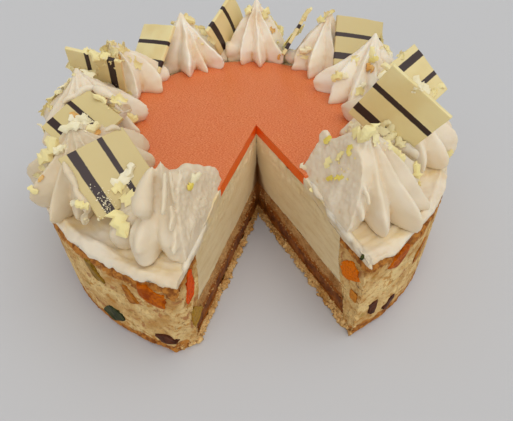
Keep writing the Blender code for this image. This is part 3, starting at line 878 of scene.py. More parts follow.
def jelly_marks(points):
    """Clear colour on the cut faces, which no light from above dulls, painted brighter than the top as
    painted light.
    """
    near = 0.0
    for cut in (RIGHT_CUT, LEFT_CUT):
        near = np.maximum(near, smooth(1.2, 0.2, cut_depth(points, cut)))
    return marks_of(near * smooth(JELLY_TOP + 0.1, JELLY_TOP - 1.2, points[..., 2]))


# The icing's upper and lower side: share of the way out, circle, radius, height
ICING_TOP = (
    (0.00, JELLY_CENTRE, JELLY_RADIUS - 0.6, 75.6),
    (0.08, JELLY_CENTRE, JELLY_RADIUS + 4.0, 75.2),
    (0.30, CAKE_CENTRE, 94.0, 71.0),
    (0.55, CAKE_CENTRE, 108.0, 68.6),
    (0.80, CAKE_CENTRE, 121.0, 67.6),
    (0.92, CAKE_CENTRE, 126.6, 66.6),
    (0.975, CAKE_CENTRE, 129.0, 65.2),
    (1.00, CAKE_CENTRE, 129.4, 64.0),
)
ICING_UNDER = (
    (0.00, JELLY_CENTRE, JELLY_RADIUS - 0.6, 70.0),
    (0.55, CAKE_CENTRE, 106.0, 63.0),
    (1.00, CAKE_CENTRE, 129.0, 62.8),
)


def along_table(table, u, direction):
    """Distance and height on a section given by a table, blended between its rows."""
    distance = np.zeros(np.broadcast(u, direction).shape)
    height = np.interp(u, [row[0] for row in table], [row[3] for row in table])
    for (low, low_centre, low_radius, _), (high, high_centre, high_radius, _) in zip(table, table[1:]):
        share = (u - low) / (high - low)
        inside = (share >= 0) & (share <= 1)
        start = reach(direction, low_centre, low_radius)
        end = reach(direction, high_centre, high_radius)
        distance = np.where(inside, start + (end - start) * share, distance)
    return distance, height


def icing_place(u, v, direction):
    """Place function of the icing, between its two tables."""
    top_distance, top = along_table(ICING_TOP, u, direction)
    low_distance, low = along_table(ICING_UNDER, u, direction)
    distance = low_distance + (top_distance - low_distance) * v
    return from_apex(direction, distance, low + (top - low) * v)


LIP_RING = 124.6  # distance of the icing's rolled lip from the cake's centre


def icing_rise(points, ring, turn):
    """Spatula marks that follow the rim, and a rolled lip that is highest on the left."""
    swept = np.stack((ring * 0.9, turn * 26, 0 * ring), axis=-1)
    rise = 1.4 * fractal(swept, 5.0, 3, 60, 0.55) + 0.7 * fractal(swept * (2.4, 0.8, 0), 5.0, 3, 62, 0.6)
    lip_share = 0.25 + 0.75 * smooth(-1.95, -2.15, turn) * smooth(-3.0, -2.6, turn)
    lip_share = lip_share * (0.8 + 0.5 * noise(points * LEVEL, 16.0, 68))
    beside = ring - LIP_RING - 1.6 * noise(points * LEVEL, 18.0, 67)
    lip = 1.1 * np.exp(-np.square(beside / 2.6)) - 0.8 * np.exp(-np.square((beside + 6.0) / 3.0))
    rise += 0.5 * noise(points, 3.5, 61) + 1.9 * lip_share * lip - 0.5
    return rise * smooth(63.5, 66.0, points[..., 2]) * smooth(80, 90, ring)


def icing_relief(points):
    """Spatula marks, an uneven dripping edge and a rough cut."""
    ring = np.linalg.norm(points[..., :2], axis=-1)
    turn = np.arctan2(points[..., 1], points[..., 0])
    moved = points.copy()
    moved[..., 2] += icing_rise(points, ring, turn)
    drip = np.maximum(fractal(points * LEVEL, 8.0, 4, 65, 0.65), -0.2)
    streaks = fractal(np.stack((turn * 12, moved[..., 2] * 1.4, 0 * ring), axis=-1), 3.0, 3, 69, 0.6)
    edge = 0.9 * (wobble(turn) * RIM_WOBBLE + streaks) + 0.8 * (fractal(points, 6.0, 3, 63) + drip)
    moved[..., :2] += points[..., :2] * (smooth(124, 129, ring) * edge / ring)[..., None]
    moved[..., 2] -= smooth(126, 129.5, ring) * (3.6 * drip - 0.5)
    return push_cuts(moved, 0.6 * fractal(points, 3.5, 4, 66, 0.6) + 0.4, 1.6)


def icing_marks(points):
    """Closeness to a rosette's rim, on the icing's upper side, where shade is painted."""
    near = 0.0
    for rosette in ROSETTES:
        base = ring_point(rosette.angle, rosette.ring, 0.0)
        distance = np.linalg.norm((points - base)[..., :2], axis=-1)
        near = np.maximum(near, smooth(rosette.radius + 4.5, rosette.radius - 2.5, distance))
    return marks_of(near * smooth(64.5, 66.5, points[..., 2]))


# Cream squeezed out along the top of each cut: path as distances from the apex, depths behind the cut
# and heights, then radii
ICING_BEADS = (
    (RIGHT_CUT, ((63, 1.4, 75.2), (70, 0.8, 73), (77, 1.6, 71.6), (84, 0.9, 69.4), (91, 1.6, 68.2),
                 (97, 0.9, 67.2), (104, 1.6, 66.2), (111, 0.6, 65.4), (116, 1.0, 64.2), (121, 0.8, 62.6)),
     (1.5, 2.1, 1.7, 2.5, 1.8, 2.3, 1.7, 2.6, 2.4, 1.6)),
    (LEFT_CUT, ((84, 0.6, 70.0), (95, 0.2, 68.0), (106, 0.2, 67.0), (113, -0.2, 66.0), (117, -0.1, 64.2)),
     (1.2, 1.7, 1.5, 1.8, 1.2)),
)


def cream_marks(points):
    """First value: closeness to the inner corner, for painted light where the faces light each other.
    Second: its moisture, which near the corner is also painted shade.
    """
    gap, height = np.linalg.norm(points[..., :2] - APEX, axis=-1), points[..., 2]
    edge = 0.8 * np.maximum(52 - height, 0.01)
    # moisture and painted shade in a wedge that widens downwards from the inner corner
    moisture_and_shade = 0.6 * smooth(edge, 0.35 * edge, gap + 1.5 * noise(points, 4.0, 310))
    moisture_and_shade = moisture_and_shade + 0.45 * np.exp(-gap / 12) * smooth(74, 46, height)
    return marks_of(smooth(60, 8, gap), np.clip(moisture_and_shade, 0, 1))


def make_crumb_layers(looks):
    """The three lowest layers."""
    pieces = []
    for name, node, look, slot, place, relief, marks, caps in (
        ("base_layer", "sponge_base", "base", "sponge",
         flat_layer(0.0, FOOT_TOP, 0.0, 0.8), crumb_relief(1.5, 1.0), base_marks, (190, 16)),
        ("filling_layer", "brown_filling", "filling", "brown_filling",
         flat_layer(FOOT_TOP, FILLING_TOP, 0.8, 0.8), filling_relief, no_marks, (170, 15)),
        ("middle_layer", "sponge_middle", "soaked", "soaked_sponge",
         flat_layer(FILLING_TOP, SPONGE_TOP, 0.8, 0.6), crumb_relief(0.8, 0.9), soaked_marks, (180, 22)),
    ):
        body = block(place, relief, marks, caps, outer=(3, 60), top=(6, 60), bottom=(6, 60))
        pieces.append(body.piece(name, looks[look], slot, [node]))
    return pieces


def make_upper_layers(looks):
    """Set cream, jelly, and the icing with its squeezed beads."""
    body = block(
        cream_place, cream_relief, cream_marks, (170, 60), outer=(8, 60), top=(12, 60), bottom=(6, 60))
    body.piece("cream_layer", looks["cream"], "cream", ["cream_filling"])
    body = block(
        jelly_place, jelly_relief, jelly_marks, (110, 10), outer=(6, 240), top=(56, 240), bottom=(6, 60))
    body.piece("jelly_layer", looks["jelly"], "jelly", ["jelly_top"], weld=0.002)
    body = block(
        icing_place, icing_relief, icing_marks, (70, 9),
        outer=(5, 620), top=(60, 620), bottom=(4, 60), inner=(4, 200))
    for cut, path, radii in ICING_BEADS:
        body.join(worm(beside_cut(cut, path), radii, 90))
    body.piece("icing_bed", looks["icing"], "icing", ["icing_border"], weld=0.002)


# ---- Sponge wall ----

WORN_DEPTH = 8.0  # how far the wall's left corner leans back over its height
WORN_CORNER = np.array((-36.0, -125.0, WALL_HEIGHT))


def wall_place(u, v, direction):
    """Place function of the wall."""
    height = WALL_HEIGHT * v
    outside = reach(direction, CAKE_CENTRE, outer_radius(height, direction))
    inside = reach(direction, CAKE_CENTRE, wall_inside(height))
    return from_apex(direction, inside + (outside - inside) * u, height)


def wear_corner(moved, points):
    """Press the wall's left corner onto a plane that leans back, with a rough finish."""
    level = cut_axes(LEFT_CUT)[1] + WORN_CORNER * LEVEL / np.linalg.norm(WORN_CORNER[:2])
    lean = level / np.linalg.norm(level) - (0, 0, WORN_DEPTH / WALL_HEIGHT)
    lean /= np.linalg.norm(lean)
    worn = clamp(moved, WORN_CORNER, lean, 0.9 * fractal(points, 5.0, 4, 76, 0.6))
    on_left = (points[..., 0] < 0) & (points[..., 1] < -60)
    return np.where(on_left[..., None], worn, moved)


def wall_relief(points):
    """Lumps, pores and a wrinkled rim outside, torn crumb on the cuts, and a pocket round each fruit."""
    ring = np.linalg.norm(points[..., :2], axis=-1)
    height = points[..., 2]
    relief = 0.6 * fractal(points, 18.0, 4, 71, 0.55) + 0.7 * fractal(points, 5.0, 4, 72, 0.6)
    relief -= 1.8 * smooth(0.34, 0.10, cells(points, 6.0, 70))
    relief -= 0.9 * smooth(0.34, 0.12, cells(points, 3.0, 74))
    relief += smooth(50, 58, height) * 0.9 * fractal(points * (1, 1, 2.2), 4.2, 3, 73)
    relief += smooth(9, 0, height) * 0.9 * fractal(points, 4.0, 3, 75)
    relief -= 0.5 + 0.9 * smooth(0.98, 0.75, fruit_nearness(points, False))
    relief *= smooth(CAKE_RADIUS - 5, CAKE_RADIUS - 1.5, ring)
    moved = points.copy()
    moved[..., :2] += points[..., :2] * (relief / ring)[..., None]
    pocket = 0.9 * smooth(0.98, 0.75, fruit_nearness(points, True))
    return wear_corner(push_cuts(moved, torn(points, 1.1, 1.0) - pocket), points)


def wall_marks(points):
    """First value: crust along the rim and foot; at the foot it is also painted shade. Second: juice round
    each fruit.
    """
    height = points[..., 2]
    near = smooth(CAKE_RADIUS - 6, CAKE_RADIUS - 3, np.linalg.norm(points[..., :2], axis=-1))
    # the foot's crust, up to 15 mm high, is also painted shade
    crust_and_foot_shade = near * np.maximum(0.84 * smooth(50.0, 60.0, height), smooth(15.0, 2.5, height))
    crust_and_foot_shade = np.maximum(crust_and_foot_shade, 0.9 * smooth(54.0, 61.0, height))
    share = np.minimum(fruit_nearness(points, False) + 9 * (near < 0.2), fruit_nearness(points, True))
    return marks_of(crust_and_foot_shade, 0.4 * smooth(1.6, 1.0, share))


def make_wall(looks):
    body = block(
        wall_place, wall_relief, wall_marks, (34, 92),
        outer=(74, 800), top=(6, 80), bottom=(6, 200), inner=(6, 80))
    return body.piece("wall_piece", looks["wall"], "sponge", ["sponge_wall"])


# ---- Candied fruit ----

Fruit = namedtuple("Fruit", "name angle height width tall roll colour")
FRUITS = (
    Fruit("fruit_green_strip", -129.5, 51, 7, 17, -18, "olive"),
    Fruit("fruit_brown_strip", -119.0, 46, 5, 13, -24, "amber"),
    Fruit("fruit_orange_block", -112.5, 52, 15, 13, 12, "orange"),
    Fruit("fruit_dark_green", -128.4, 14, 12, 15, 30, "green"),
    Fruit("fruit_raisin_left", -111.9, 14.5, 11, 8, -25, "raisin"),
    Fruit("fruit_orange_rim", -53.4, 54, 11, 15, 35, "orange"),
    Fruit("fruit_raisin_low", -59.1, 20, 6, 12, 8, "raisin"),
    Fruit("fruit_raisin_side", -52.3, 13, 7, 11, 42, "raisin"),
    Fruit("fruit_pale_strip", -41.5, 39, 7, 17, 38, "amber"),
)
CutFruit = namedtuple("CutFruit", "name cut along height width tall roll colour")
CUT_FRUITS = (
    CutFruit("fruit_orange_cut", RIGHT_CUT, 107, 46.5, 16, 10.5, -40, "orange"),
    CutFruit("fruit_amber_cut", RIGHT_CUT, 113.5, 32.5, 6, 7, 0, "amber"),
    CutFruit("fruit_red_cut", LEFT_CUT, 111.3, 51.5, 8.5, 19, -3, "red"),
    CutFruit("fruit_olive_cut", LEFT_CUT, 111, 24.5, 8.5, 15, 15, "olive"),
)
FRUIT_DEPTH = 3.0  # from the wall's outer face to the middle of a fruit
FRUIT_THICKNESS = 8.8
FAR_FRUITS, FAR_WIDEST, FAR_ROLL = 10, 14.0, 60.0
FAR_COLOURS = ("orange", "raisin", "olive", "red", "amber", "green")
FRUIT_SLOTS = {
    "orange": "orange_fruit", "red": "red_fruit", "amber": "amber_fruit",
    "olive": "olive_fruit", "green": "green_fruit", "raisin": "raisin",
}
GREEN_BIT_PLACE, GREEN_BIT_RADII = (114.5, -0.9, 65.6), (0.9, 0.9, 2.0)
Placed = namedtuple("Placed", "name colour place axes width tall cut")


def rolled(level, inward, roll):
    """Axes across, inward and along of a fruit turned about its inward axis."""
    turn = math.radians(roll)
    rise = np.array((0.0, 0.0, 1.0))
    across = math.cos(turn) * level - math.sin(turn) * rise
    tall = math.sin(turn) * level + math.cos(turn) * rise
    return np.stack((across, inward, tall))


def in_wall(fruit):
    """A fruit set in the wall's outer face."""
    inward = -ring_point(fruit.angle, 1.0, 0.0)
    level = np.array((inward[1], -inward[0], 0.0))
    place = ring_point(fruit.angle, CAKE_RADIUS - FRUIT_DEPTH, fruit.height)
    axes = rolled(level, inward, fruit.roll)
    return Placed(fruit.name, fruit.colour, place, axes, fruit.width, fruit.tall, None)


def in_cut(fruit):
    """A fruit that the knife cut."""
    along = np.array((math.cos(fruit.cut), math.sin(fruit.cut), 0.0))
    through = np.array((-along[1], along[0], 0.0))
    place = APEX_FOOT + along * fruit.along + (0, 0, fruit.height)
    axes = rolled(along, through, fruit.roll)
    return Placed(fruit.name, fruit.colour, place, axes, fruit.width, fruit.tall, fruit.cut)


def far_fruits():
    """The fruit round the side that the photograph doesn't show, sized from its solids."""
    fruits = []
    for index in range(FAR_FRUITS):
        name = "fruit_far_%02d" % (index + 1)
        low, high = (np.array(corner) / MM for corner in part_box(name))
        middle, extent = (low + high) / 2, high - low
        angle = math.degrees(math.atan2(middle[1], middle[0]))
        width = min(FAR_WIDEST, 0.95 * float(np.hypot(extent[0], extent[1])))
        roll = (scatter(np.array((index, 4, 2)), 9) - 0.5) * FAR_ROLL
        colour = FAR_COLOURS[index % len(FAR_COLOURS)]
        fruits.append(Fruit(name, angle, middle[2], width, extent[2] * 0.86, roll, colour))
    return fruits


PLACES = [*map(in_wall, FRUITS), *map(in_cut, CUT_FRUITS), *map(in_wall, far_fruits())]


def fruit_nearness(points, only_cut):
    """How far from a fruit's middle: 1 at its edge, larger outside it."""
    nearest = np.full(points.shape[:-1], 9.0)
    for fruit in PLACES:
        if (fruit.cut is not None) == only_cut:
            local = (points - fruit.place) @ fruit.axes.T
            share = np.hypot(local[..., 0] / (fruit.width / 2), local[..., 2] / (fruit.tall / 2))
            nearest = np.minimum(nearest, np.where(np.abs(local[..., 1]) < 6, share, 9.0))
    return nearest


def press_to_outside(points, proud):
    """Keep points inside the cake's outer face, or this far proud of it."""
    turn = np.arctan2(points[:, 1], points[:, 0])
    limit = outer_radius(points[:, 2], turn) + proud
    share = np.minimum(1.0, limit / np.linalg.norm(points[:, :2], axis=1))
    return points * np.stack((share, share, np.ones_like(share)), axis=-1)


def fruit_points(points, fruit, index):
    """The points of a ball as a lumpy, squarish and slanted piece of fruit in its place."""
    slant, pinch = scatter(np.array(((index, 1, 5), (index, 7, 3))), 12) - 0.5
    if fruit.cut == LEFT_CUT:
        slant, pinch = 0.0, -1.1
    square = np.sign(points) * np.abs(points) ** 0.45
    lump = 1 + 0.26 * noise(points + index * 3.1, 0.8, index)[:, None]
    local = square * lump * (fruit.width * 0.5, FRUIT_THICKNESS * 0.5, fruit.tall * 0.5)
    local[:, 0] += 0.7 * slant * fruit.width / fruit.tall * local[:, 2]
    local[:, 0] *= 1 + 0.9 * pinch * local[:, 2] / fruit.tall
    local[:, 0] += 0.14 * fruit.width * noise(local * (0, 0, 1) + index, fruit.tall * 0.5, 5)
    world = fruit.place + local @ fruit.axes
    return world + 0.5 * fractal(world, 2.6, 3, index)[:, None] * (fruit.axes[0] - fruit.axes[2])


def trimmed(world, fruit, index):
    """A fruit pressed behind the wall's outer face and the cuts; one that is cut stands a little proud."""
    world = press_to_outside(world, 0.1 + 0.35 * noise(world, 3.0, index + 40))
    if fruit.cut is None:
        for cut in (RIGHT_CUT, LEFT_CUT):
            near = cut_depth(world, cut)[:, None] < 0
            world = np.where(near, clamp(world, APEX_FOOT, cut_axes(cut)[1], -0.1), world)
    else:
        proud = 0.35 - 0.4 * noise(world, 2.5, index)
        world = clamp(world, APEX_FOOT, cut_axes(fruit.cut)[1], -proud)
    world[:, 2] = np.clip(world[:, 2], 0.2, WALL_HEIGHT + 0.2)
    return world


def make_fruit(looks):
    points, faces = ball(4)
    for index, fruit in enumerate(PLACES):
        world = trimmed(fruit_points(points, fruit, index), fruit, index)
        body = Body()
        # the mark paints a highlight on the fruit that the knife cut
        body.add(world, faces, mark=np.full((len(world), 3), 1.0 if fruit.cut else 0.0))
        look = looks["fruit_" + fruit.colour]
        body.piece(fruit.name + "_piece", look, FRUIT_SLOTS[fruit.colour], [fruit.name])


def make_green_bit(looks):
    """A small piece of peel on the icing at the right cut."""
    points, faces = ball(4)
    along, outward = cut_axes(RIGHT_CUT)
    place = beside_cut(RIGHT_CUT, [GREEN_BIT_PLACE])[0]
    lump = 1 + 0.3 * noise(points, 0.7, 3)[:, None]
    body = Body()
    body.add(place + (points * lump * GREEN_BIT_RADII) @ (along, outward, (0.2, 0, 1)), faces)
    body.piece("green_bit", looks["fruit_green"], "green_fruit")


# ---- Cream rosettes ----

# Angles in degrees, and ring distances from the cake's centre, of the foot and of the peak
Rosette = namedtuple("Rosette", "name angle ring radius peak_angle peak_ring peak twist crisp lobes")
ROSETTE_FOOT = 66.0
# Lobes are directions in degrees with a share of the radius
ROSETTES = (
    Rosette("rosette_a", -116.0, 96, 30, -113.5, 97, 111, -6, 0.10, (
        (-152, 1.0), (-110, 1.04), (-73, 0.94), (-36, 0.9), (6, 0.9), (50, 0.9), (92, 0.9), (132, 0.9),
        (170, 0.92))),
    Rosette("rosette_b", -149.0, 98, 35, -151.0, 102, 110, 10, 0.45, (
        (178, 1.10), (-151, 1.0), (-121, 1.06), (-96, 0.93), (-64, 0.95), (-30, 0.97), (6, 0.93),
        (39, 1.04), (74, 1.0), (108, 1.0), (144, 1.02))),
    Rosette("rosette_c", 178.0, 98, 35, 175.5, 100, 112, 14, 0.70, (
        (-1, 1.02), (-30, 1.12), (-63, 1.0), (-96, 0.97), (-129, 1.0), (-161, 0.98), (166, 0.98),
        (132, 1.0), (98, 1.0), (63, 1.0), (31, 0.95))),
    Rosette("rosette_d", 146.5, 100, 31, 151.0, 98, 112, 45, 0.85, (
        (-33, 1.06), (5, 0.98), (45, 0.95), (85, 1.0), (125, 1.0), (165, 1.0), (-155, 1.0), (-112, 1.0),
        (-72, 1.0))),
    Rosette("rosette_e", 113.5, 100, 31, 115.0, 101, 113, 8, 0.95, (
        (-137, 1.0), (-86, 1.02), (-60, 0.98), (-38, 1.08), (5, 1.1), (50, 1.0), (95, 1.0), (140, 1.04),
        (-176, 1.08))),
    Rosette("rosette_f", 81.5, 102, 28, 82.0, 102, 118, -6, 0.85, (
        (-121, 1.02), (-90, 1.06), (-54, 1.02), (-12, 1.06), (35, 1.0), (80, 1.0), (125, 1.0),
        (165, 1.0), (-160, 1.0))),
    Rosette("rosette_g", 50.0, 100, 30, 48.5, 100, 115, -12, 0.80, (
        (-158, 0.98), (-120, 1.05), (-82, 0.98), (-45, 1.0), (0, 1.0), (45, 1.0), (90, 1.0), (130, 1.0),
        (168, 0.95))),
    Rosette("rosette_h", 18.5, 95, 35, 22.5, 97, 114, -16, 0.60, (
        (178, 1.10), (-153, 1.08), (-124, 1.06), (-95, 1.0), (-63, 0.95), (-30, 1.0), (2, 1.0),
        (35, 1.0), (70, 1.0), (106, 1.0), (143, 0.98))),
    Rosette("rosette_i", -14.5, 96, 36, -13.0, 97, 110, 10, 0.50, (
        (-52, 0.98), (-24, 1.02), (6, 1.0), (38, 1.0), (72, 1.0), (108, 1.0), (144, 1.0), (180, 1.0),
        (-145, 1.0), (-112, 0.95), (-80, 0.95))),
    Rosette("rosette_j", -49.0, 96, 32, -51.0, 94, 114, 4, 0.55, (
        (-83, 0.98), (-51, 1.10), (-17, 1.14), (15, 1.10), (48, 1.0), (85, 0.95), (125, 0.9), (165, 0.9),
        (-155, 0.9), (-118, 0.85))),
)
PLUMP = ("rosette_b", "rosette_c", "rosette_h", "rosette_i")
# Of each tier: share of the height, share of the radius, depth of the grooves, bluntness of the crests
PLUMP_TIER = (
    (0.00, 0.86, 0.42, 2.2), (0.05, 0.98, 0.40, 2.1), (0.15, 1.01, 0.36, 1.9), (0.28, 0.96, 0.33, 1.6),
    (0.42, 0.82, 0.32, 1.4), (0.54, 0.62, 0.33, 1.3), (0.66, 0.43, 0.36, 1.2), (0.78, 0.26, 0.40, 1.1),
    (0.90, 0.12, 0.42, 1.2), (0.97, 0.05, 0.30, 1.5), (1.00, 0.02, 0.10, 2.0),
)
SINGLE_TIER = (
    (0.00, 0.90, 0.50, 2.0), (0.04, 1.00, 0.44, 1.9), (0.12, 1.01, 0.37, 1.6), (0.27, 0.92, 0.34, 1.3),
    (0.42, 0.75, 0.33, 1.1), (0.58, 0.54, 0.36, 1.05), (0.75, 0.31, 0.42, 1.1), (0.90, 0.13, 0.45, 1.3),
    (0.97, 0.06, 0.30, 1.5), (1.00, 0.02, 0.10, 2.0),
)
LOWER_TIER = (
    (0.00, 0.84, 0.50, 2.4), (0.12, 0.97, 0.42, 2.4), (0.28, 1.00, 0.34, 2.2), (0.50, 0.92, 0.28, 2.0),
    (0.72, 0.74, 0.24, 1.8), (0.88, 0.50, 0.20, 1.6), (0.97, 0.24, 0.16, 1.6), (1.00, 0.03, 0.10, 2.0),
)
UPPER_TIER = (
    (0.00, 0.50, 0.30, 2.4), (0.06, 0.86, 0.42, 2.4), (0.17, 1.00, 0.40, 2.2), (0.34, 0.86, 0.36, 1.9),
    (0.52, 0.60, 0.36, 1.6), (0.70, 0.36, 0.38, 1.3), (0.86, 0.17, 0.36, 1.3), (1.00, 0.02, 0.10, 2.0),
)
UPPER_LOBES = (
    (-158, 1.0), (-128, 1.05), (-98, 0.9), (-66, 1.0), (-30, 1.0), (20, 1.0), (60, 1.0), (100, 1.0),
    (150, 1.0))
STAR_ROWS, LOBE_STEPS = 100, 16
PIPED_VOXEL, DRAGGED_VOXEL = 0.82, 0.76


def column(table, share, index):
    """A column of a table read at a share, with its corners rounded."""
    places = [row[0] for row in table]
    values = [row[index] for row in table]
    total = 0.0
    for offset, weight in ((-0.03, 0.25), (0.0, 0.5), (0.03, 0.25)):
        total = total + weight * np.interp(share + offset, places, values)
    return total


def seat_height(points):
    """Height of the jelly or the icing below a point."""
    beyond = np.linalg.norm(points[..., :2] - JELLY_CENTRE, axis=-1) - JELLY_RADIUS
    left = CAKE_RADIUS - np.linalg.norm(points[..., :2], axis=-1)
    share = np.clip(beyond / np.maximum(beyond + left, 1.0), 0, 1)
    icing = np.interp(share, [row[0] for row in ICING_TOP], [row[3] for row in ICING_TOP])
    return np.where(beyond < 0, JELLY_TOP, icing)


def lobe_knots(angles):
    """Directions of the valleys and crests, in turn, once round a star."""
    around = np.concatenate((angles[-1:] - 360, angles, angles[:2] + 360))
    valleys = (around[1:] + around[:-1]) / 2
    count = len(angles)
    return np.stack((valleys[:count + 1], around[1:count + 2]), axis=1).ravel()


def roughened(points, middle, share, seed):
    """A star with rough cream and a slow warp, which leave its tip as it is."""
    outward = points - middle
    length = np.linalg.norm(outward, axis=-1, keepdims=True) + 1e-6
    rough = 0.7 * fractal(points, 8.0, 3, seed) + 0.28 * noise(points, 2.6, seed + 8)
    points = points + outward / length * (rough * smooth(1.0, 0.8, share))[..., None]
    warp = np.stack([noise(points, 13.0, seed + 3), noise(points, 13.0, seed + 4)], axis=-1)
    points[..., :2] += 1.3 * warp * (smooth(0.0, 0.2, share) * smooth(1.0, 0.7, share))[..., None]
    return points


def star_crest(table, share, within, crisp):
    """How far a lobe stands out: 1 on its crest and 0 in the grooves beside it."""
    blunt = 1 - np.abs(within) ** column(table, share, 3)
    sharp = (1.06 - np.sqrt(np.square(within) + 0.0036)) ** 1.6
    return blunt + crisp * (sharp - blunt)


def star(base, peak, radius, table, lobes, twist, crisp, seed, seated=True):
    """A piped star, closed at both ends, with a lobe in each of these directions."""
    lobes = sorted(lobes)
    count = len(lobes)
    angles, reaches = np.array(lobes, float).T
    share = np.linspace(0, 1, STAR_ROWS)[:, None] ** 0.92
    phase = (np.arange(count * LOBE_STEPS) / LOBE_STEPS)[None, :]
    lobe = np.round(phase).astype(int) % count
    within = 2 * (phase - np.round(phase))
    draw = np.random.default_rng(seed)
    swell, swing = draw.uniform(0, 6.28, count), draw.uniform(-14, 14, count)
    drop = draw.uniform(-1.2, 0.8, count)
    crest = star_crest(table, share, within, crisp)
    depth = column(table, share, 2)
    size = reaches[lobe] * (1 + 0.10 * np.sin(4.5 * share + swell[lobe]) * smooth(0.0, 0.3, share))
    arm = radius * column(table, share, 1) * (1 - depth + depth * crest) * (1 + (size - 1) * crest)
    arm = arm * (1 + 0.07 * smooth(0.3, 0.7, share) * np.cos(4 * np.pi * phase + swell[0]))
    bend = (1 - np.square(within)) * swing[lobe] * (share - 0.3) * smooth(0.0, 0.15, share)
    around = np.interp(phase, np.arange(2 * count + 2) / 2 - 0.5, lobe_knots(angles))
    turn = np.radians(around + twist * share ** 1.3 + bend)
    middle = base + (peak - base) * np.stack((share ** 1.4, share ** 1.4, share), axis=-1)
    points = middle + arm[..., None] * np.stack((np.cos(turn), np.sin(turn), 0 * turn), axis=-1)
    if seated:
        seat = seat_height(middle[:1] + 0.9 * (points[:1] - middle[:1])) - 1.0
        points[..., 2] = seat + (peak[2] - seat) * share
    points[..., 2] -= (drop[lobe] + 0.8) * crest * smooth(0.5, 0.0, share) * smooth(0.0, 0.06, share)
    points = roughened(points, middle, share, seed)
    return closed(points, points[0].mean(axis=0), peak + (0, 0, 0.6))


def ends(rosette):
    """A rosette's foot and its peak."""
    base = ring_point(rosette.angle, rosette.ring, ROSETTE_FOOT)
    return base, ring_point(rosette.peak_angle, rosette.peak_ring, rosette.peak)


def whole_star(rosette, seed):
    """A rosette as it was piped."""
    base, peak = ends(rosette)
    table = PLUMP_TIER if rosette.name in PLUMP else SINGLE_TIER
    return star(base, peak, rosette.radius, table, rosette.lobes, rosette.twist, rosette.crisp, seed)


def hollows(points, faces, rounds):
    """How far each point of a mesh of squares lies below its neighbourhood, in millimetres."""
    edges = np.concatenate([faces[:, [k, (k + 1) % 4]] for k in range(4)])
    edges = np.unique(np.sort(edges, axis=1), axis=0)
    size = len(points)
    share = np.maximum(np.bincount(edges.ravel(), minlength=size), 1)[:, None]
    level = points.copy()
    for _ in range(rounds):
        total = np.stack([
            np.bincount(edges[:, 0], level[edges[:, 1], k], size)
            + np.bincount(edges[:, 1], level[edges[:, 0], k], size) for k in range(3)], axis=-1)
        level = (level + total / share) / 2
    facing = np.cross(points[faces[:, 2]] - points[faces[:, 0]], points[faces[:, 3]] - points[faces[:, 1]])
    normal = np.zeros_like(points)
    for k in range(3):
        for corner in range(4):
            normal[:, k] += np.bincount(faces[:, corner], facing[:, k], size)
    return ((level - points) * unit(normal)).sum(axis=1)


# Painted light on each rosette's cream, in order; the lower, the more painted shade
ROSETTE_PAINTED_LIGHT = (0.25, 0.05, 0.5, 0.8, 1.0, 1.0, 1.0, 1.0, 0.6, 0.45)


def star_marks(points, faces, painted_light):
    """First value: painted light. Second: hollows between the lobes, for painted shade. Third: closeness to
    the foot, for painted shade in the pockets.
    """
    # hollows of the cream, for painted shade
    hollow_shade = smooth(0.04, 0.5, hollows(points, faces, 14))
    return marks_of(painted_light, hollow_shade, smooth(14.0, 0.5, points[:, 2] - seat_height(points)))


def between(index, points):
    """Keep a rosette on its own side of the wavy upright sheets to its neighbours."""
    here = ROSETTES[index]
    for step in (-1, 1):
        if not 0 <= index + step < len(ROSETTES):
            continue
        other = ROSETTES[index + step]
        start = ring_point(here.angle, here.ring, 0.0)
        there = ring_point(other.angle, other.ring, 0.0)
        share = here.radius / (here.radius + other.radius)
        outward = (there - start) / np.linalg.norm(there - start)
        wave = step * (1.6 * noise(points, 9.0, 300) + 0.8 * noise(points, 4.0, 301))
        points = soft_clamp(points, start + (there - start) * share, outward, 0.2 + wave, 0.4)
    return points


SMEAR_FOOT = 69.0
# Cream that the knife dragged: cut, slope of its face in degrees, thickness, scores along it as amount,
# size and seed, lumps as amount, size, seed and gain, outline as distances from the apex and heights
Smear = namedtuple("Smear", "cut slope thickness scores lumps outline")
SMEARS = {
    "rosette_a": Smear(LEFT_CUT, 76.0, 14.0, (0.4, 3.0, 31), (1.6, 5.0, 33, 0.68), (
        (57, 64), (57.5, 74), (58.5, 80), (62, 84.5), (67, 88.5), (72, 92.5), (77, 96.5), (83, 100.5),
        (88, 102.5), (93, 101), (98, 96), (103, 89), (107, 82), (110, 74), (112, 66), (108, 63.5))),
    "rosette_j": Smear(RIGHT_CUT, 68.0, 13.0, (0.1, 4.0, 35), (1.7, 6.5, 34, 0.66), (
        (51, 64), (51.5, 76), (54, 85), (57, 93), (64, 99), (71, 104.5), (78, 106), (85, 104.5),
        (91, 100), (95, 93), (98, 85), (100, 76), (100, 64))),
}
